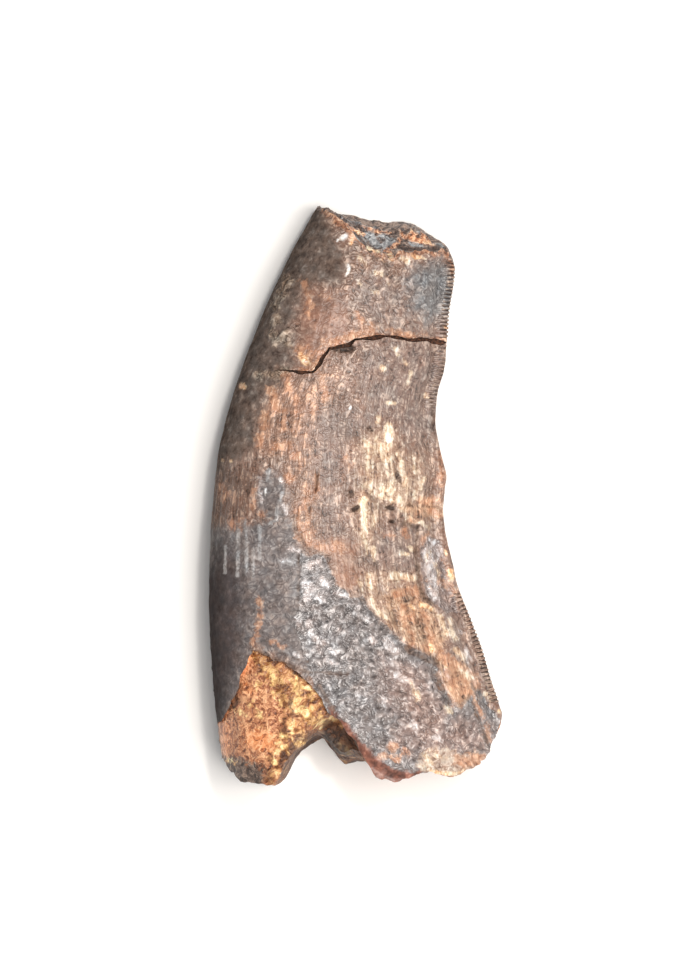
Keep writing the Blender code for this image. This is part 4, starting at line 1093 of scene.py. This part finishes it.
def curls(tree, places, scale, rings):
    """Fine curled lines, as of crazed and etched mineral: the rings of a twisted noise. In the enamel's colours
    they paint thin lines of shade and curls of highlight.
    """
    swirl = add_node(tree, "TexNoise", {"Vector": places, "Scale": scale, "Detail": 1.0, "Distortion": 1.2})
    swirl = add_node(tree, "Math", {0: swirl, 1: rings}, operation="MULTIPLY")
    folded = add_node(tree, "Math", {0: swirl, 1: 0.5}, operation="PINGPONG")
    return add_node(tree, "MapRange", {0: folded, 1: 0.02, 2: 0.3})


def lay_over(tree, colour, name, pattern, codes, wander_noise, softness, cover):
    """Lays a marked zone's finish over a colour, with an uneven edge. Returns how much of it shows as well."""
    depth = add_node(tree, "Attribute", attribute_name=name, output="Fac")
    most = min(2.2 * softness**1.2, 0.55)
    wander = add_node(tree, "MapRange", {0: wander_noise, 1: 0.3, 2: 0.7, 3: -most, 4: most})
    wandering = add_node(tree, "Math", {0: depth, 1: wander})
    settings = {0: wandering, 1: -softness, 2: softness, 4: cover}
    share = add_node(tree, "MapRange", settings, interpolation_type="SMOOTHSTEP")
    finish = add_node(tree, "ValToRGB", {0: pattern}, colours=[linear(code) for code in codes])
    colour = add_node(tree, "Mix", {0: share, 6: colour, 7: finish}, output=2, data_type="RGBA")
    return share, colour


def enamel_patterns(tree, millimetres, soft):
    """The patterns of the enamel's layers, 0 in their low places and 1 in their high ones."""
    sizes = bpy.context.scene.tooth_sizes
    streak, pebble = sizes.streak_spacing / MM, sizes.pebble_size / MM
    settings = {"Vector": millimetres, "Scale": 0.85 / pebble, "Detail": 1.2, "Distortion": 0.9}
    grit = add_node(tree, "TexNoise", settings)
    pits = add_node(tree, "MapRange", {0: grit, 1: 0.3, 2: 0.7})
    worms = add_node(tree, "Mix", {0: 0.52, 2: pits, 3: curls(tree, millimetres, 0.45 / pebble, 2.3)})
    worms = add_node(tree, "MapRange", {0: worms, 1: 0.02, 2: 1.0})

    straight = add_node(tree, "Attribute", output="Vector", attribute_name="straight")
    lines = []
    for width, length in STREAKS:
        scale = (1 / (width * streak), 1 / (length * streak), 1 / (width * streak))
        settings = {"Vector": straight, "Location": (7.0 * width, 3.0 * width, 0.0), "Scale": scale}
        stretched = add_node(tree, "Mapping", settings)
        settings = {"Vector": stretched, "Scale": 1.0, "Detail": 1.0, "Distortion": 0.5}
        lines.append(add_node(tree, "TexNoise", settings))
    mixed = add_node(tree, "Mix", {0: 0.45, 2: lines[0], 3: lines[1]})
    mixed = add_node(tree, "Mix", {0: 0.3, 2: mixed, 3: lines[2]})
    mixed = add_node(tree, "MapRange", {0: mixed, 1: 0.38, 2: 0.62})
    streaks = add_node(tree, "Mix", {0: 0.46, 2: mixed, 3: worms})
    streaks = add_node(tree, "MapRange", {0: streaks, 1: 0.1, 2: 0.9})

    soft = add_node(tree, "MapRange", {0: soft, 1: 0.32, 2: 0.68})
    soft = add_node(tree, "Mix", {0: 0.3, 2: soft, 3: worms})

    shift = add_node(tree, "VectorMath", {0: grit, "Scale": 0.7}, operation="SCALE")
    moved = add_node(tree, "VectorMath", {0: millimetres, 1: shift})
    settings = {"Vector": moved, "Scale": 0.7 / pebble}
    cells = add_node(tree, "TexVoronoi", settings, output="Distance", feature="SMOOTH_F1")
    domes = add_node(tree, "MapRange", {0: cells, 1: 0.75, 2: 0.1})
    pebbles = add_node(tree, "Mix", {0: 0.5, 2: domes, 3: worms})
    pebbles = add_node(tree, "MapRange", {0: pebbles, 1: 0.12, 2: 0.88})

    streaked = add_node(tree, "Attribute", output="Fac", attribute_name="streaked")
    local = add_node(tree, "Mix", {0: streaked, 2: worms, 3: streaks})
    return {"worms": worms, "soft": soft, "streaks": streaks, "pebbles": pebbles, "local": local}


def weathered(tree, colour, flank, noises):
    """The enamel's colour with its grey and rusty casts, darker in the low places and lighter on the high ones
    (dirt and wear, with painted shade and painted highlights), painted shade towards the mesial edge, and
    darker towards the tip.
    """
    rust = add_node(tree, "MapRange", {0: noises["rust"], 1: 0.36, 2: 0.66})
    cast = add_node(tree, "Mix", {0: rust, 6: GREY_CAST, 7: RUSTY_CAST}, output=2, data_type="RGBA")
    colour = add_node(tree, "VectorMath", {0: colour, 1: cast}, operation="MULTIPLY")
    relief = add_node(tree, "Attribute", output="Fac", attribute_name="relief")
    # Darker in the low places of the relief and lighter on its high ones: dirt and wear, with painted shade in
    # the hollows and painted highlights on the tops.
    wear_and_painted_relief_light = add_node(tree, "MapRange", {0: relief, 1: -0.1, 2: 0.1, 3: 0.7, 4: 1.22})
    stained = add_node(tree, "MapRange", {0: noises["mottle"], 1: 0.3, 2: 0.7, 3: 0.76, 4: 0.96})
    # Painted shade towards the mesial edge, and darker towards the tip.
    edge_shade_and_tip_darkening = add_node(tree, "MapRange", {0: flank, 3: 0.58, 4: 1.0})
    light = add_node(tree, "Math", {0: wear_and_painted_relief_light, 1: stained}, operation="MULTIPLY")
    light = add_node(tree, "Math", {0: light, 1: edge_shade_and_tip_darkening}, operation="MULTIPLY")
    return add_node(tree, "VectorMath", {0: colour, "Scale": light}, operation="SCALE")


def enamel():
    """Fossil tooth enamel: hard and glassy once, now iron-stained, finely cracked and worn to a satin.

    Streaks run along the crown, the low places are darker with dirt and painted shade, and the flaked patches
    are pebbled and glint, with painted glints besides.
    """
    material, tree, shader = new_material("fossil enamel, iron-stained and worn", 1.6)
    millimetres = millimetres_in(tree)
    noises = {
        name: add_node(tree, "TexNoise", {"Vector": millimetres, **settings})
        for name, settings in ENAMEL_NOISES.items()
    }
    patterns = enamel_patterns(tree, millimetres, noises["soft"])
    flank = add_node(tree, "Attribute", output="Fac", attribute_name="flank")
    dark, light = bpy.context.scene.tooth_colours.enamel_dark, bpy.context.scene.tooth_colours.enamel_light
    finish = ((*dark, 1.0), *(linear(code) for code in ENAMEL_FINISH[1:-1]), (*light, 1.0))
    colour = add_node(tree, "ValToRGB", {0: patterns["local"]}, colours=finish)
    surface = add_node(tree, "CombineXYZ", {0: ENAMEL_ROUGHNESS, 1: ENAMEL_SPECULAR})
    height = add_node(tree, "Math", {0: patterns["local"], 1: ENAMEL_RISE}, operation="MULTIPLY")
    for name, kind, codes, roughness, specular, rise, softness, cover in ENAMEL_LAYERS:
        pattern = patterns[kind]
        share, colour = lay_over(tree, colour, name, pattern, codes, noises["edge"], softness, cover)
        settings = {0: share, 6: surface, 7: (roughness, specular, 0.0, 1.0)}
        surface = add_node(tree, "Mix", settings, output=2, data_type="RGBA")
        raised = add_node(tree, "Math", {0: pattern, 1: rise}, operation="MULTIPLY")
        height = add_node(tree, "Mix", {0: share, 2: height, 3: raised})

    parts = add_node(tree, "SeparateXYZ", {0: surface}).node.outputs
    dulled = add_node(tree, "Math", {0: parts[1], 1: flank}, operation="MULTIPLY")
    normal = add_node(tree, "Bump", {"Height": height, "Distance": MM, "Strength": 1.0})
    tree.links.new(weathered(tree, colour, flank, noises), shader.inputs["Base Color"])
    tree.links.new(parts[0], shader.inputs["Roughness"])
    tree.links.new(dulled, shader.inputs["Specular IOR Level"])
    tree.links.new(normal, shader.inputs["Normal"])
    return material


# The same for the dentine: attribute, pattern, colours, roughness, softness of the edge in mm, and cover.
DENTINE_LAYERS = (
    ("under_skin", "grains", ("#2e1a12", "#6e4430", "#95644a", "#c8946e"), 0.5, 0.15, 0.8),
    ("leg_bottom", "grains", ("#18110e", "#40332c", "#574840", "#8e7a6c"), 0.5, 0.5, 0.97),
    ("notch_side", "blocks", ("#33221a", "#6c4c38", "#96704e", "#d2a674"), 0.55, 0.4, 0.9),
    ("infill", "blocks", ("#4c2914", "#ac7248", "#e6b278", "#fff2bc"), 0.4, 0.3, 0.9),
    ("ember", "grains", ("#8a4a28", "#d47e4a", "#e49660", "#ffc090"), 0.4, 0.3, 0.8),
    ("gold_blobs", "blocks", ("#9a5f30", "#f2c886", "#ffeeae", "#ffffe8"), 0.35, 0.3, 0.82),
    # A block in the gap, painted dark as the lobe's shadow.
    ("dark_block", "blocks", ("#170f0a", "#402c1d", "#60432c", "#a87e52"), 0.6, 0.3, 0.85),
    # Painted shade along the chip's rims, in a crack and beside the notch.
    ("chip_dark", "grains", ("#1e120c", "#3e2618", "#54341f", "#744a2e"), 0.6, 0.12, 0.85),
    ("tip_face", "grains", ("#1c1613", "#4f433d", "#76665e", "#b09a8c"), 0.42, 0.2, 0.9),
    ("tip_grey", "grains", ("#2a2a2c", "#606366", "#85898d", "#c0c4c6"), 0.35, 0.22, 0.9),
    ("tip_orange", "grains", ("#552b15", "#a26039", "#cf8b62", "#ffcca0"), 0.34, 0.14, 0.92),
    ("tip_dark", "grains", ("#170e0b", "#2c1c16", "#402a20", "#5e4232"), 0.55, 0.1, 0.9),
    ("golden", "grains", ("#b4764c", "#f0b887", "#ffdcae", "#fff6d8"), 0.3, 0.12, 0.9),
    # Painted glints.
    ("white", "grains", ("#dccfc0", "#f8f2ea", "#ffffff", "#ffffff"), 0.3, 0.05, 1.0),
)
DENTINE_FINISH = ("#5a301c", "#9c5e3c", "#b47852", "#f2b688")
DENTINE_NOISES = {
    "fibres": {"Scale": 1.6, "Detail": 4.0, "Distortion": 0.8},
    "pits": {"Scale": 2.8, "Detail": 2.0, "Distortion": 1.4},
}


def dentine():
    """Fossil dentine, broken open: porous, stone-like, orange-brown, darker under the rim of the enamel.

    In the chip it is crusted with crumbly golden mineral.
    """
    material, tree, shader = new_material("fossil dentine with mineral infill, broken", 1.55)
    millimetres = millimetres_in(tree)
    noises = {
        name: add_node(tree, "TexNoise", {"Vector": millimetres, **settings})
        for name, settings in DENTINE_NOISES.items()
    }
    fibres, pits = (add_node(tree, "MapRange", {0: each, 1: 0.34, 2: 0.66}) for each in noises.values())
    grain = add_node(tree, "Mix", {0: 0.5, 2: fibres, 3: pits})
    grain = add_node(tree, "Mix", {0: 0.4, 2: grain, 3: curls(tree, millimetres, 1.25, 2.6)})
    tone = add_node(tree, "Attribute", output="Fac", attribute_name="stone_tone")
    gap = add_node(tree, "Attribute", output="Fac", attribute_name="stone_gap")
    crumbs = add_node(tree, "Mix", {0: 0.6, 2: tone, 3: grain})
    joint = add_node(tree, "MapRange", {0: gap, 1: 0.0, 2: 0.22, 3: 0.35, 4: 1.0})
    patterns = {
        "grains": add_node(tree, "MapRange", {0: grain, 1: 0.12, 2: 0.88}),
        "blocks": add_node(tree, "Math", {0: crumbs, 1: joint}, operation="MULTIPLY"),
    }
    dark, light = bpy.context.scene.tooth_colours.dentine_dark, bpy.context.scene.tooth_colours.dentine_light
    finish = ((*dark, 1.0), *(linear(code) for code in DENTINE_FINISH[1:-1]), (*light, 1.0))
    colour = add_node(tree, "ValToRGB", {0: patterns["grains"]}, colours=finish)
    rough_share = add_node(tree, "MapRange", {0: noises["pits"], 3: 0.65, 4: 0.35})
    for name, kind, codes, roughness, softness, cover in DENTINE_LAYERS:
        share, colour = lay_over(tree, colour, name, patterns[kind], codes, noises["fibres"], softness, cover)
        rough_share = add_node(tree, "Mix", {0: share, 2: rough_share, 3: roughness})
    normal = add_node(tree, "Bump", {"Height": grain, "Distance": 0.12 * MM})
    tree.links.new(colour, shader.inputs["Base Color"])
    tree.links.new(rough_share, shader.inputs["Roughness"])
    tree.links.new(normal, shader.inputs["Normal"])
    return material


# Near-black for the cracks' walls: painted shade of the narrow gaps.
CRACK_SHADE_COLOURS = ("#24150e", "#5c3a28")


def crack_shade():
    """The walls of the cracks: dull and nearly black, painted shade for the narrow gaps."""
    material, tree, shader = new_material("crack walls in painted shade", 1.45, 0.85)
    grains = add_node(tree, "TexNoise", {"Vector": millimetres_in(tree), "Scale": 5.0, "Detail": 3.0})
    share = add_node(tree, "MapRange", {0: grains, 1: 0.4, 2: 0.65})
    dark, light = (linear(code) for code in CRACK_SHADE_COLOURS)
    colour = add_node(tree, "Mix", {0: share, 6: dark, 7: light}, output=2, data_type="RGBA")
    normal = add_node(tree, "Bump", {"Height": grains, "Distance": 0.08 * MM})
    tree.links.new(colour, shader.inputs["Base Color"])
    tree.links.new(normal, shader.inputs["Normal"])
    return material


# ----------------------------------------
# Marks on the surface, kept as attributes that the materials read.


def write_attribute(piece, name, values):
    kind, key = ("FLOAT_VECTOR", "vector") if np.ndim(values) == 2 else ("FLOAT", "value")
    attribute = piece.data.attributes.new(name, kind, "POINT")
    attribute.data.foreach_set(key, np.asarray(values, np.float32).ravel())


# Name, outlines and strokes on top, outlines and strokes under the tooth. Empty ones at the end are left out.
MARKS = (
    ("umber", (BROWN_STRIP,), BROWN_SHADE_STROKES),
    ("tip_stain", (TIP_STAIN,)),
    ("stain", (MESIAL_STAIN,)),
    ("ash", ASH, (), (UNDER_SLATE,)),
    ("cream_field", CREAM_FIELD, (), (), UNDER_CREAM_STROKES),
    ("striated", STRIATED_FIELD, (), (), UNDER_ORANGE_STROKES),
    ("tongue", (TONGUE,)),
    ("slate", (SLATE, GREY_WINDOW), (), (UNDER_SLATE,)),
    ("charcoal", (SMOOTH_CHARCOAL,), (), (UNDER_CHARCOAL,)),
    ("crust", (CRUST,), (), (UNDER_CRUST,)),
    ("tan_lumps", (), tuple((LUMP_TRAIL_HALF_WIDTH, *path) for path in LUMP_TRAIL)),
    ("blue_grey", (BLUE_GREY,)),
    ("pebbled", (FLAKED_PATCH, DISTAL_PATCH), (), (UNDER_PATCH,)),
    ("rosy", (ROSY_PATCH, DISTAL_PATCH)),
    ("wall", (WALL,)),
    ("shell", (SHELL_FLAKE,)),
    ("silver", (), GLINT_STROKES),
    ("orange", (), ORANGE_STROKES, (), UNDER_ORANGE_STROKES),
    ("cream", (), CREAM_STROKES, (), UNDER_CREAM_STROKES),
    ("crease", (), CREASES),
    ("golden", (), GOLDEN_SPOTS, (), UNDER_GOLDEN_SPOTS),
    ("glaze", (), RIDGES),
    ("white", (), WHITE_GLINTS),
    ("infill", (INFILL,)),
    ("leg_bottom", (LEG_BOTTOM,), (), (LEG_BOTTOM,)),
    ("notch_side", (NOTCH_SIDE,), (), (NOTCH_SIDE,)),
    ("ember", (), CHIP_EMBER),
    ("gold_blobs", (), CHIP_GOLD),
    ("chip_dark", (), CHIP_SHADE),
    ("dark_block", (), SHADOWED_BLOCK),
    ("tip_grey", (), TIP_GREY),
    ("tip_orange", (), TIP_ORANGE),
    ("tip_dark", (), TIP_DARK),
)


# How far the rim's painted highlight reaches from the tip's rim and from the crack's lip, and where along the
# lip it starts.
TIP_RIM_REACH = 0.35
LIP_MARK_REACH = 0.3
LIP_MARK_FROM = -5.5
# How much of a denticle counts as its crest, in waves, and the depth that one wave stands for.
CREST_LEVEL = 0.25
CREST_SCALE = 0.3
# The dentine is darker this close under the skin, and the tip's broken face starts here.
DARK_RIM_DEPTH = 0.45
TIP_FACE_FROM = 20.0


def rim_highlight_zone(x, y):
    """How near each place on top is to the tip's broken rim, or to the tipward lip of the crack, where the rim
    layer paints a highlight along the edge.
    """
    tip = TIP_RIM_REACH - path_distance(x, y, TIP_NEAR_RIM[1:-1])
    lip = LIP_MARK_REACH - path_distance(x, y, CRACK_PATH)
    on_lip = tipward_of_crack(x, y) & (x > LIP_MARK_FROM)
    return np.maximum(tip, np.where(on_lip, lip, -FAR_INSIDE))


def crest_marks(x, y):
    """Above 0 on the crests of the denticles, and below 0 in the gaps between them."""
    pitch = bpy.context.scene.tooth_sizes.denticle_pitch / MM
    crest = np.full(np.shape(x), -FAR_INSIDE)
    for start, end, left in DENTICLE_RUNS:
        on_run = (y > start) & (y < end) & (distal_x(y) - x < DENTICLE_BAND)
        wave = np.cos(2 * np.pi * ((y - start) / pitch - 0.5)) + lumpy(x, y, 0.0, CREST_LUMPS) - CREST_LEVEL
        crest = np.where(on_run, CREST_SCALE * wave * left, crest)
    return crest


def mark_surface(tooth):
    """Writes down what the materials read: the zones, the straightened places, the relief and the stones."""
    x, y, z = points_of(tooth).T
    on_top = z > middle_z(y)
    above = ramp(z - middle_z(y) + 1.2 + lumpy(x, y, z, UNDERSIDE_LUMPS), -1.0, 1.0)
    for name, *drawn in MARKS:
        depth = zone(x, y, *drawn[:2]) * above + zone(x, y, *drawn[2:]) * (1 - above)
        write_attribute(tooth, name, depth)
    write_attribute(tooth, "straight", np.stack(straightened(x, y, z), -1))
    write_attribute(tooth, "relief", weathering(x, y, z))
    # Painted shade: the enamel is darker, and shines less, towards the rounded mesial edge where it turns from
    # the light. It is also darker towards the tip.
    lit = 1 - 0.2 * ramp(y, 17.0, 22.0)
    write_attribute(tooth, "flank", (0.05 + 0.95 * ramp(x - mesial_x(y), 0.1, 2.2)) * lit)
    write_attribute(tooth, "streaked", 0.2 + 0.62 * ramp(y, 15.5, 10.0))
    write_attribute(tooth, "rim", np.where(on_top, rim_highlight_zone(x, y), -FAR_INSIDE))
    crest = crest_marks(x, y)
    write_attribute(tooth, "crest", crest)
    # Painted shade in the gaps between the denticles, in the pits and in the crack's lens-shaped opening.
    gaps_between = np.where(crest > -1.0, -crest - 0.03, -FAR_INSIDE)
    pits = zone(x, y, (), DARK_STROKES) * above + zone(x, y, (), UNDER_DARK_STROKES) * (1 - above)
    lens = np.where(on_top, zone(x, y, (LENS_POCKET,)), -FAR_INSIDE)
    write_attribute(tooth, "pit_shade", np.maximum.reduce([gaps_between, pits, lens]))

    under_skin = np.minimum(upper_z(x, y) - z, z - lower_z(x, y))
    write_attribute(tooth, "under_skin", DARK_RIM_DEPTH - under_skin)
    write_attribute(tooth, "tip_face", np.clip(y - TIP_FACE_FROM, -FAR_INSIDE, FAR_INSIDE))
    gap, tone = blocks(x, y, z, *MARKED_STONES)
    write_attribute(tooth, "stone_gap", gap)
    write_attribute(tooth, "stone_tone", tone)


# ----------------------------------------
# Settings, operators and panel.


class ToothSizes(bpy.types.PropertyGroup):
    thickness: FloatProperty(
        name="Thickness", description="Greatest thickness of the crown at mid height",
        default=13.0 * MM, min=5.0 * MM, unit="LENGTH",
    )
    flake_depth: FloatProperty(
        name="Flake depth", description="Depth of the ledge where the outermost enamel has flaked away",
        default=0.12 * MM, min=0.0, unit="LENGTH",
    )
    denticle_pitch: FloatProperty(
        name="Denticle pitch", description="Distance from one denticle of the serrated edge to the next",
        default=0.37 * MM, min=0.1 * MM, unit="LENGTH",
    )
    streak_spacing: FloatProperty(
        name="Streak spacing", description="Distance between the streaks that run along the crown",
        default=0.32 * MM, min=0.05 * MM, unit="LENGTH",
    )
    pebble_size: FloatProperty(
        name="Pebble size", description="Width of the bumps of the flaked enamel",
        default=0.36 * MM, min=0.05 * MM, unit="LENGTH",
    )
    skin_spacing: FloatProperty(
        name="Skin spacing", description="Distance between the points of the outer surface",
        default=0.195 * MM, min=0.1 * MM, unit="LENGTH",
    )
    break_spacing: FloatProperty(
        name="Break spacing", description="Distance between the points of the broken faces",
        default=0.21 * MM, min=0.1 * MM, unit="LENGTH",
    )


class ToothColours(bpy.types.PropertyGroup):
    # The enamel's ends, dark in the low places and light on the high worn places: partly its own tone, partly
    # painted shade and painted highlight.
    enamel_dark: FloatVectorProperty(
        name="Enamel, dark", description="Enamel colour in the low places",
        default=linear(ENAMEL_FINISH[0])[:3], min=0.0, max=1.0, subtype="COLOR",
    )
    enamel_light: FloatVectorProperty(
        name="Enamel, light", description="Enamel colour on the worn high places",
        default=linear(ENAMEL_FINISH[-1])[:3], min=0.0, max=1.0, subtype="COLOR",
    )
    dentine_dark: FloatVectorProperty(
        name="Dentine, dark", description="Colour of the pores in the broken dentine",
        default=linear(DENTINE_FINISH[0])[:3], min=0.0, max=1.0, subtype="COLOR",
    )
    dentine_light: FloatVectorProperty(
        name="Dentine, light", description="Colour of the high grains of the broken dentine",
        default=linear(DENTINE_FINISH[-1])[:3], min=0.0, max=1.0, subtype="COLOR",
    )
    floor: FloatVectorProperty(
        name="Floor", description="Colour of the surface that the tooth lies on",
        default=linear("#f4f3f1")[:3], min=0.0, max=1.0, subtype="COLOR",
    )


def add_crown():
    """The whole crown before it broke, with its weathered outer surface."""
    spacing = bpy.context.scene.tooth_sizes.skin_spacing / MM
    places = np.linspace(CROWN_FROM, CROWN_TO, round((CROWN_TO - CROWN_FROM) / spacing) + 1)
    upper_count = round(UPPER_GIRTH / spacing)
    lower_count = round(LOWER_GIRTH / (LOWER_COARSENESS * spacing))
    rings = np.array([section_points(y, upper_count, lower_count) for y in places])
    x, y, z = np.moveaxis(rings, 2, 0)
    rings = rings + outward_normals(rings) * outer_relief(x, y, z)[:, :, None]
    crown = add_sheet("tooth_skin", np.concatenate([rings, rings[:, :1]], axis=1))
    edit_whole(MERGE_DOUBLES, (bpy.ops.mesh.fill_holes, {"sides": 0}), TURN_FACES_OUT)
    return crown


def add_denticles():
    """One rounded denticle, modelled once and copied along the runs of the distal edge."""
    pitch = bpy.context.scene.tooth_sizes.denticle_pitch / MM
    deselect()
    bpy.ops.mesh.primitive_cube_add(size=1.0)
    pattern = bpy.context.object
    pattern.name = "denticle"
    pattern.dimensions = [
        size * MM
        for size in (DENTICLE_LENGTH + DENTICLE_HEIGHT, DENTICLE_WIDTH_SHARE * pitch, DENTICLE_THICKNESS)
    ]
    bpy.ops.object.transform_apply(location=False, rotation=False, scale=True)
    rounding = DENTICLE_ROUNDING_SHARE * pitch * MM
    edit_whole((bpy.ops.mesh.bevel, {"offset": rounding, "segments": 2, "affect": "EDGES"}))
    shape = points_of(pattern)
    shape[:, 0] += (DENTICLE_HEIGHT - DENTICLE_LENGTH) / 2
    shape[:, 2] *= 1 - DENTICLE_NARROWING * ramp(shape[:, 0], -DENTICLE_LENGTH, DENTICLE_HEIGHT)
    deselect()
    copies = []
    for start, end, left in DENTICLE_RUNS:
        for i in range(round((end - start) / pitch)):
            y = start + (i + 0.5) * pitch
            slope = distal_x(y + 0.5) - distal_x(y - 0.5)
            across, along = 1 / np.hypot(1, slope), slope / np.hypot(1, slope)
            wear = 1 - left * (DENTICLE_LEFT + lumpy(0.0, y, 0.0, DENTICLE_LUMPS))
            proud = shape[:, 0] - DENTICLE_HEIGHT * wear
            copy = pattern.copy()
            copy.data = pattern.data.copy()
            bpy.context.scene.collection.objects.link(copy)
            turned_x = distal_x(y) + proud * across + shape[:, 1] * along
            turned_y = y - proud * along + shape[:, 1] * across
            set_points(copy, np.stack([turned_x, turned_y, middle_z(y) + shape[:, 2]], -1))
            copy.select_set(True)
            copies.append(copy)
    bpy.data.objects.remove(pattern, do_unlink=True)
    bpy.context.view_layer.objects.active = copies[0]
    bpy.ops.object.join()
    edit_whole(TURN_FACES_OUT)
    return bpy.context.object


def cut_with(tooth, cutter, material):
    """Cuts the tooth, and gives the faces of the cut the material of what lies under the skin."""
    cutter.data.materials.clear()
    cutter.data.materials.append(material)
    cutter.data.polygons.foreach_set("material_index", np.zeros(len(cutter.data.polygons), np.int32))
    combine(tooth, cutter, "DIFFERENCE")


def break_ends(tooth, material):
    """Breaks off the tip and the base along their rims."""
    for name, reach, face in (
        ("tip_break", BREAK_REACH, (TIP_FAR_RIM, TIP_NEAR_RIM, TIP_SECTION_Y, TIP_SPAN, tip_relief)),
        ("base_break", -BREAK_REACH, (BASE_FAR_RIM, BASE_NEAR_RIM, BASE_SECTION_Y, BASE_SPAN, base_relief)),
    ):
        cutter = add_sheet(name, broken_face(*face))
        close_sheet((0, reach, 0))
        cut_with(tooth, cutter, material)


def chip_base(tooth, material):
    """Cuts the chip down to the dentine, with its craggy rim."""
    spacing = bpy.context.scene.tooth_sizes.break_spacing / MM
    cut_with(tooth, pocket("chip", jagged(CHIP_OUTLINE, *CHIP_JAG), chip_depth, spacing), material)


def crack_through(tooth, material):
    """Cuts the stepped crack on top, and the one that goes on from it underneath."""
    for name, path, side in (("crack", CRACK_PATH, 1), ("back_crack", BACK_CRACK_PATH, -1)):
        route = jagged(path, *CRACK_JAG, closed=False)
        outline = ribbon(route, crack_widths(*route.T))
        cut_with(tooth, pocket(name, outline, crack_depth, CRACK_SPACING, side), material)


def remove_crumbs(tooth):
    """Keeps the connected piece that holds the point nearest the middle of the top, and deletes slivers that
    the cuts left loose.
    """
    deselect()
    bpy.context.view_layer.objects.active = tooth
    tooth.select_set(True)
    middle = int(np.argmin(np.linalg.norm(points_of(tooth) - MIDDLE_OF_TOP, axis=1)))
    bpy.ops.object.mode_set(mode="EDIT")
    bpy.ops.mesh.select_all(action="DESELECT")
    bpy.ops.object.mode_set(mode="OBJECT")
    tooth.data.vertices[middle].select = True
    bpy.ops.object.mode_set(mode="EDIT")
    bpy.ops.mesh.select_linked()
    bpy.ops.mesh.select_all(action="INVERT")
    bpy.ops.mesh.delete(type="VERT")
    bpy.ops.object.mode_set(mode="OBJECT")


class FOSSIL_OT_make_tooth(bpy.types.Operator):
    """Models the tooth: the crown, its denticles, broken ends, chip, cracks and finish"""

    bl_idname = "fossil.make_tooth"
    bl_label = "Make tooth"

    def execute(self, context):
        broken, crack_walls = dentine(), crack_shade()
        tooth = add_crown()
        skin = enamel()
        tooth.data.materials.append(skin)
        denticles = add_denticles()
        denticles.data.materials.append(skin)
        combine(tooth, denticles, "UNION")
        break_ends(tooth, broken)
        chip_base(tooth, broken)
        crack_through(tooth, crack_walls)
        remove_crumbs(tooth)
        mark_surface(tooth)
        tooth.data.shade_smooth()
        tooth.data.set_sharp_from_angle(angle=SHARP_FROM)
        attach(tooth, "root")
        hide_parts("tooth")
        return {"FINISHED"}


def light_room(scene):
    """A softly lit room, with one large lamp and a small one that makes the glints."""
    world = bpy.data.worlds.new("soft room")
    scene.world = world
    world.use_nodes = True
    background = world.node_tree.nodes["Background"]
    background.inputs["Color"].default_value = linear(ROOM_COLOUR)
    background.inputs["Strength"].default_value = ROOM_LIGHT
    for name, place, size, power, colour in LAMPS:
        deselect()
        bpy.ops.object.light_add(type="AREA", location=place)
        lamp = bpy.context.object
        lamp.name = name
        lamp.rotation_mode = "QUATERNION"
        lamp.rotation_quaternion = lamp.location.to_track_quat("Z", "Y")
        lamp.data.size = size
        lamp.data.energy = power
        lamp.data.color = linear(colour)[:3]


def add_camera(scene):
    """A camera straight above the tooth."""
    deselect()
    bpy.ops.object.camera_add(location=(VIEW_CENTRE[0] * MM, VIEW_CENTRE[1] * MM, CAMERA_HEIGHT))
    camera = bpy.context.object
    camera.name = "camera"
    camera.rotation_euler = (0.0, 0.0, 0.0)
    camera.data.sensor_width = SENSOR_WIDTH
    reach = CAMERA_HEIGHT - VIEW_PLANE * MM
    camera.data.lens = camera.data.sensor_width * reach / (IMAGE_HEIGHT * MM_PER_PIXEL * MM)
    camera.data.clip_end = CAMERA_SEES_TO
    scene.camera = camera


class FOSSIL_OT_make_stage(bpy.types.Operator):
    """Lays the plain pale floor and sets up the soft lights and the camera above the tooth"""

    bl_idname = "fossil.make_stage"
    bl_label = "Make stage"

    def execute(self, context):
        deselect()
        bpy.ops.mesh.primitive_plane_add(size=FLOOR_SIZE)
        floor = context.object
        floor.name = "floor"
        # Matt white paper: it scatters light evenly and doesn't shine.
        paper, _, shader = new_material("matt white paper", 1.45, 0.9)
        shader.inputs["Base Color"].default_value = (*context.scene.tooth_colours.floor, 1.0)
        floor.data.materials.append(paper)
        light_room(context.scene)
        add_camera(context.scene)
        context.scene.view_settings.view_transform = "Standard"
        return {"FINISHED"}


class FOSSIL_PT_panel(bpy.types.Panel):
    bl_label = "Fossil tooth"
    bl_idname = "FOSSIL_PT_panel"
    bl_space_type = "VIEW_3D"
    bl_region_type = "UI"
    bl_category = "Fossil"

    def draw(self, context):
        for group in (context.scene.tooth_sizes, context.scene.tooth_colours):
            for name in group.__annotations__:
                self.layout.prop(group, name)
        self.layout.operator(FOSSIL_OT_make_tooth.bl_idname)
        self.layout.operator(FOSSIL_OT_make_stage.bl_idname)


CLASSES = (ToothSizes, ToothColours, FOSSIL_OT_make_tooth, FOSSIL_OT_make_stage, FOSSIL_PT_panel)


def register():
    for each in CLASSES:
        bpy.utils.register_class(each)
    bpy.types.Scene.tooth_sizes = PointerProperty(type=ToothSizes)
    bpy.types.Scene.tooth_colours = PointerProperty(type=ToothColours)


def unregister():
    del bpy.types.Scene.tooth_colours
    del bpy.types.Scene.tooth_sizes
    for each in reversed(CLASSES):
        bpy.utils.unregister_class(each)


def main():
    register()
    bpy.ops.fossil.make_tooth()
    bpy.ops.fossil.make_stage()


if __name__ == "__main__":
    main()
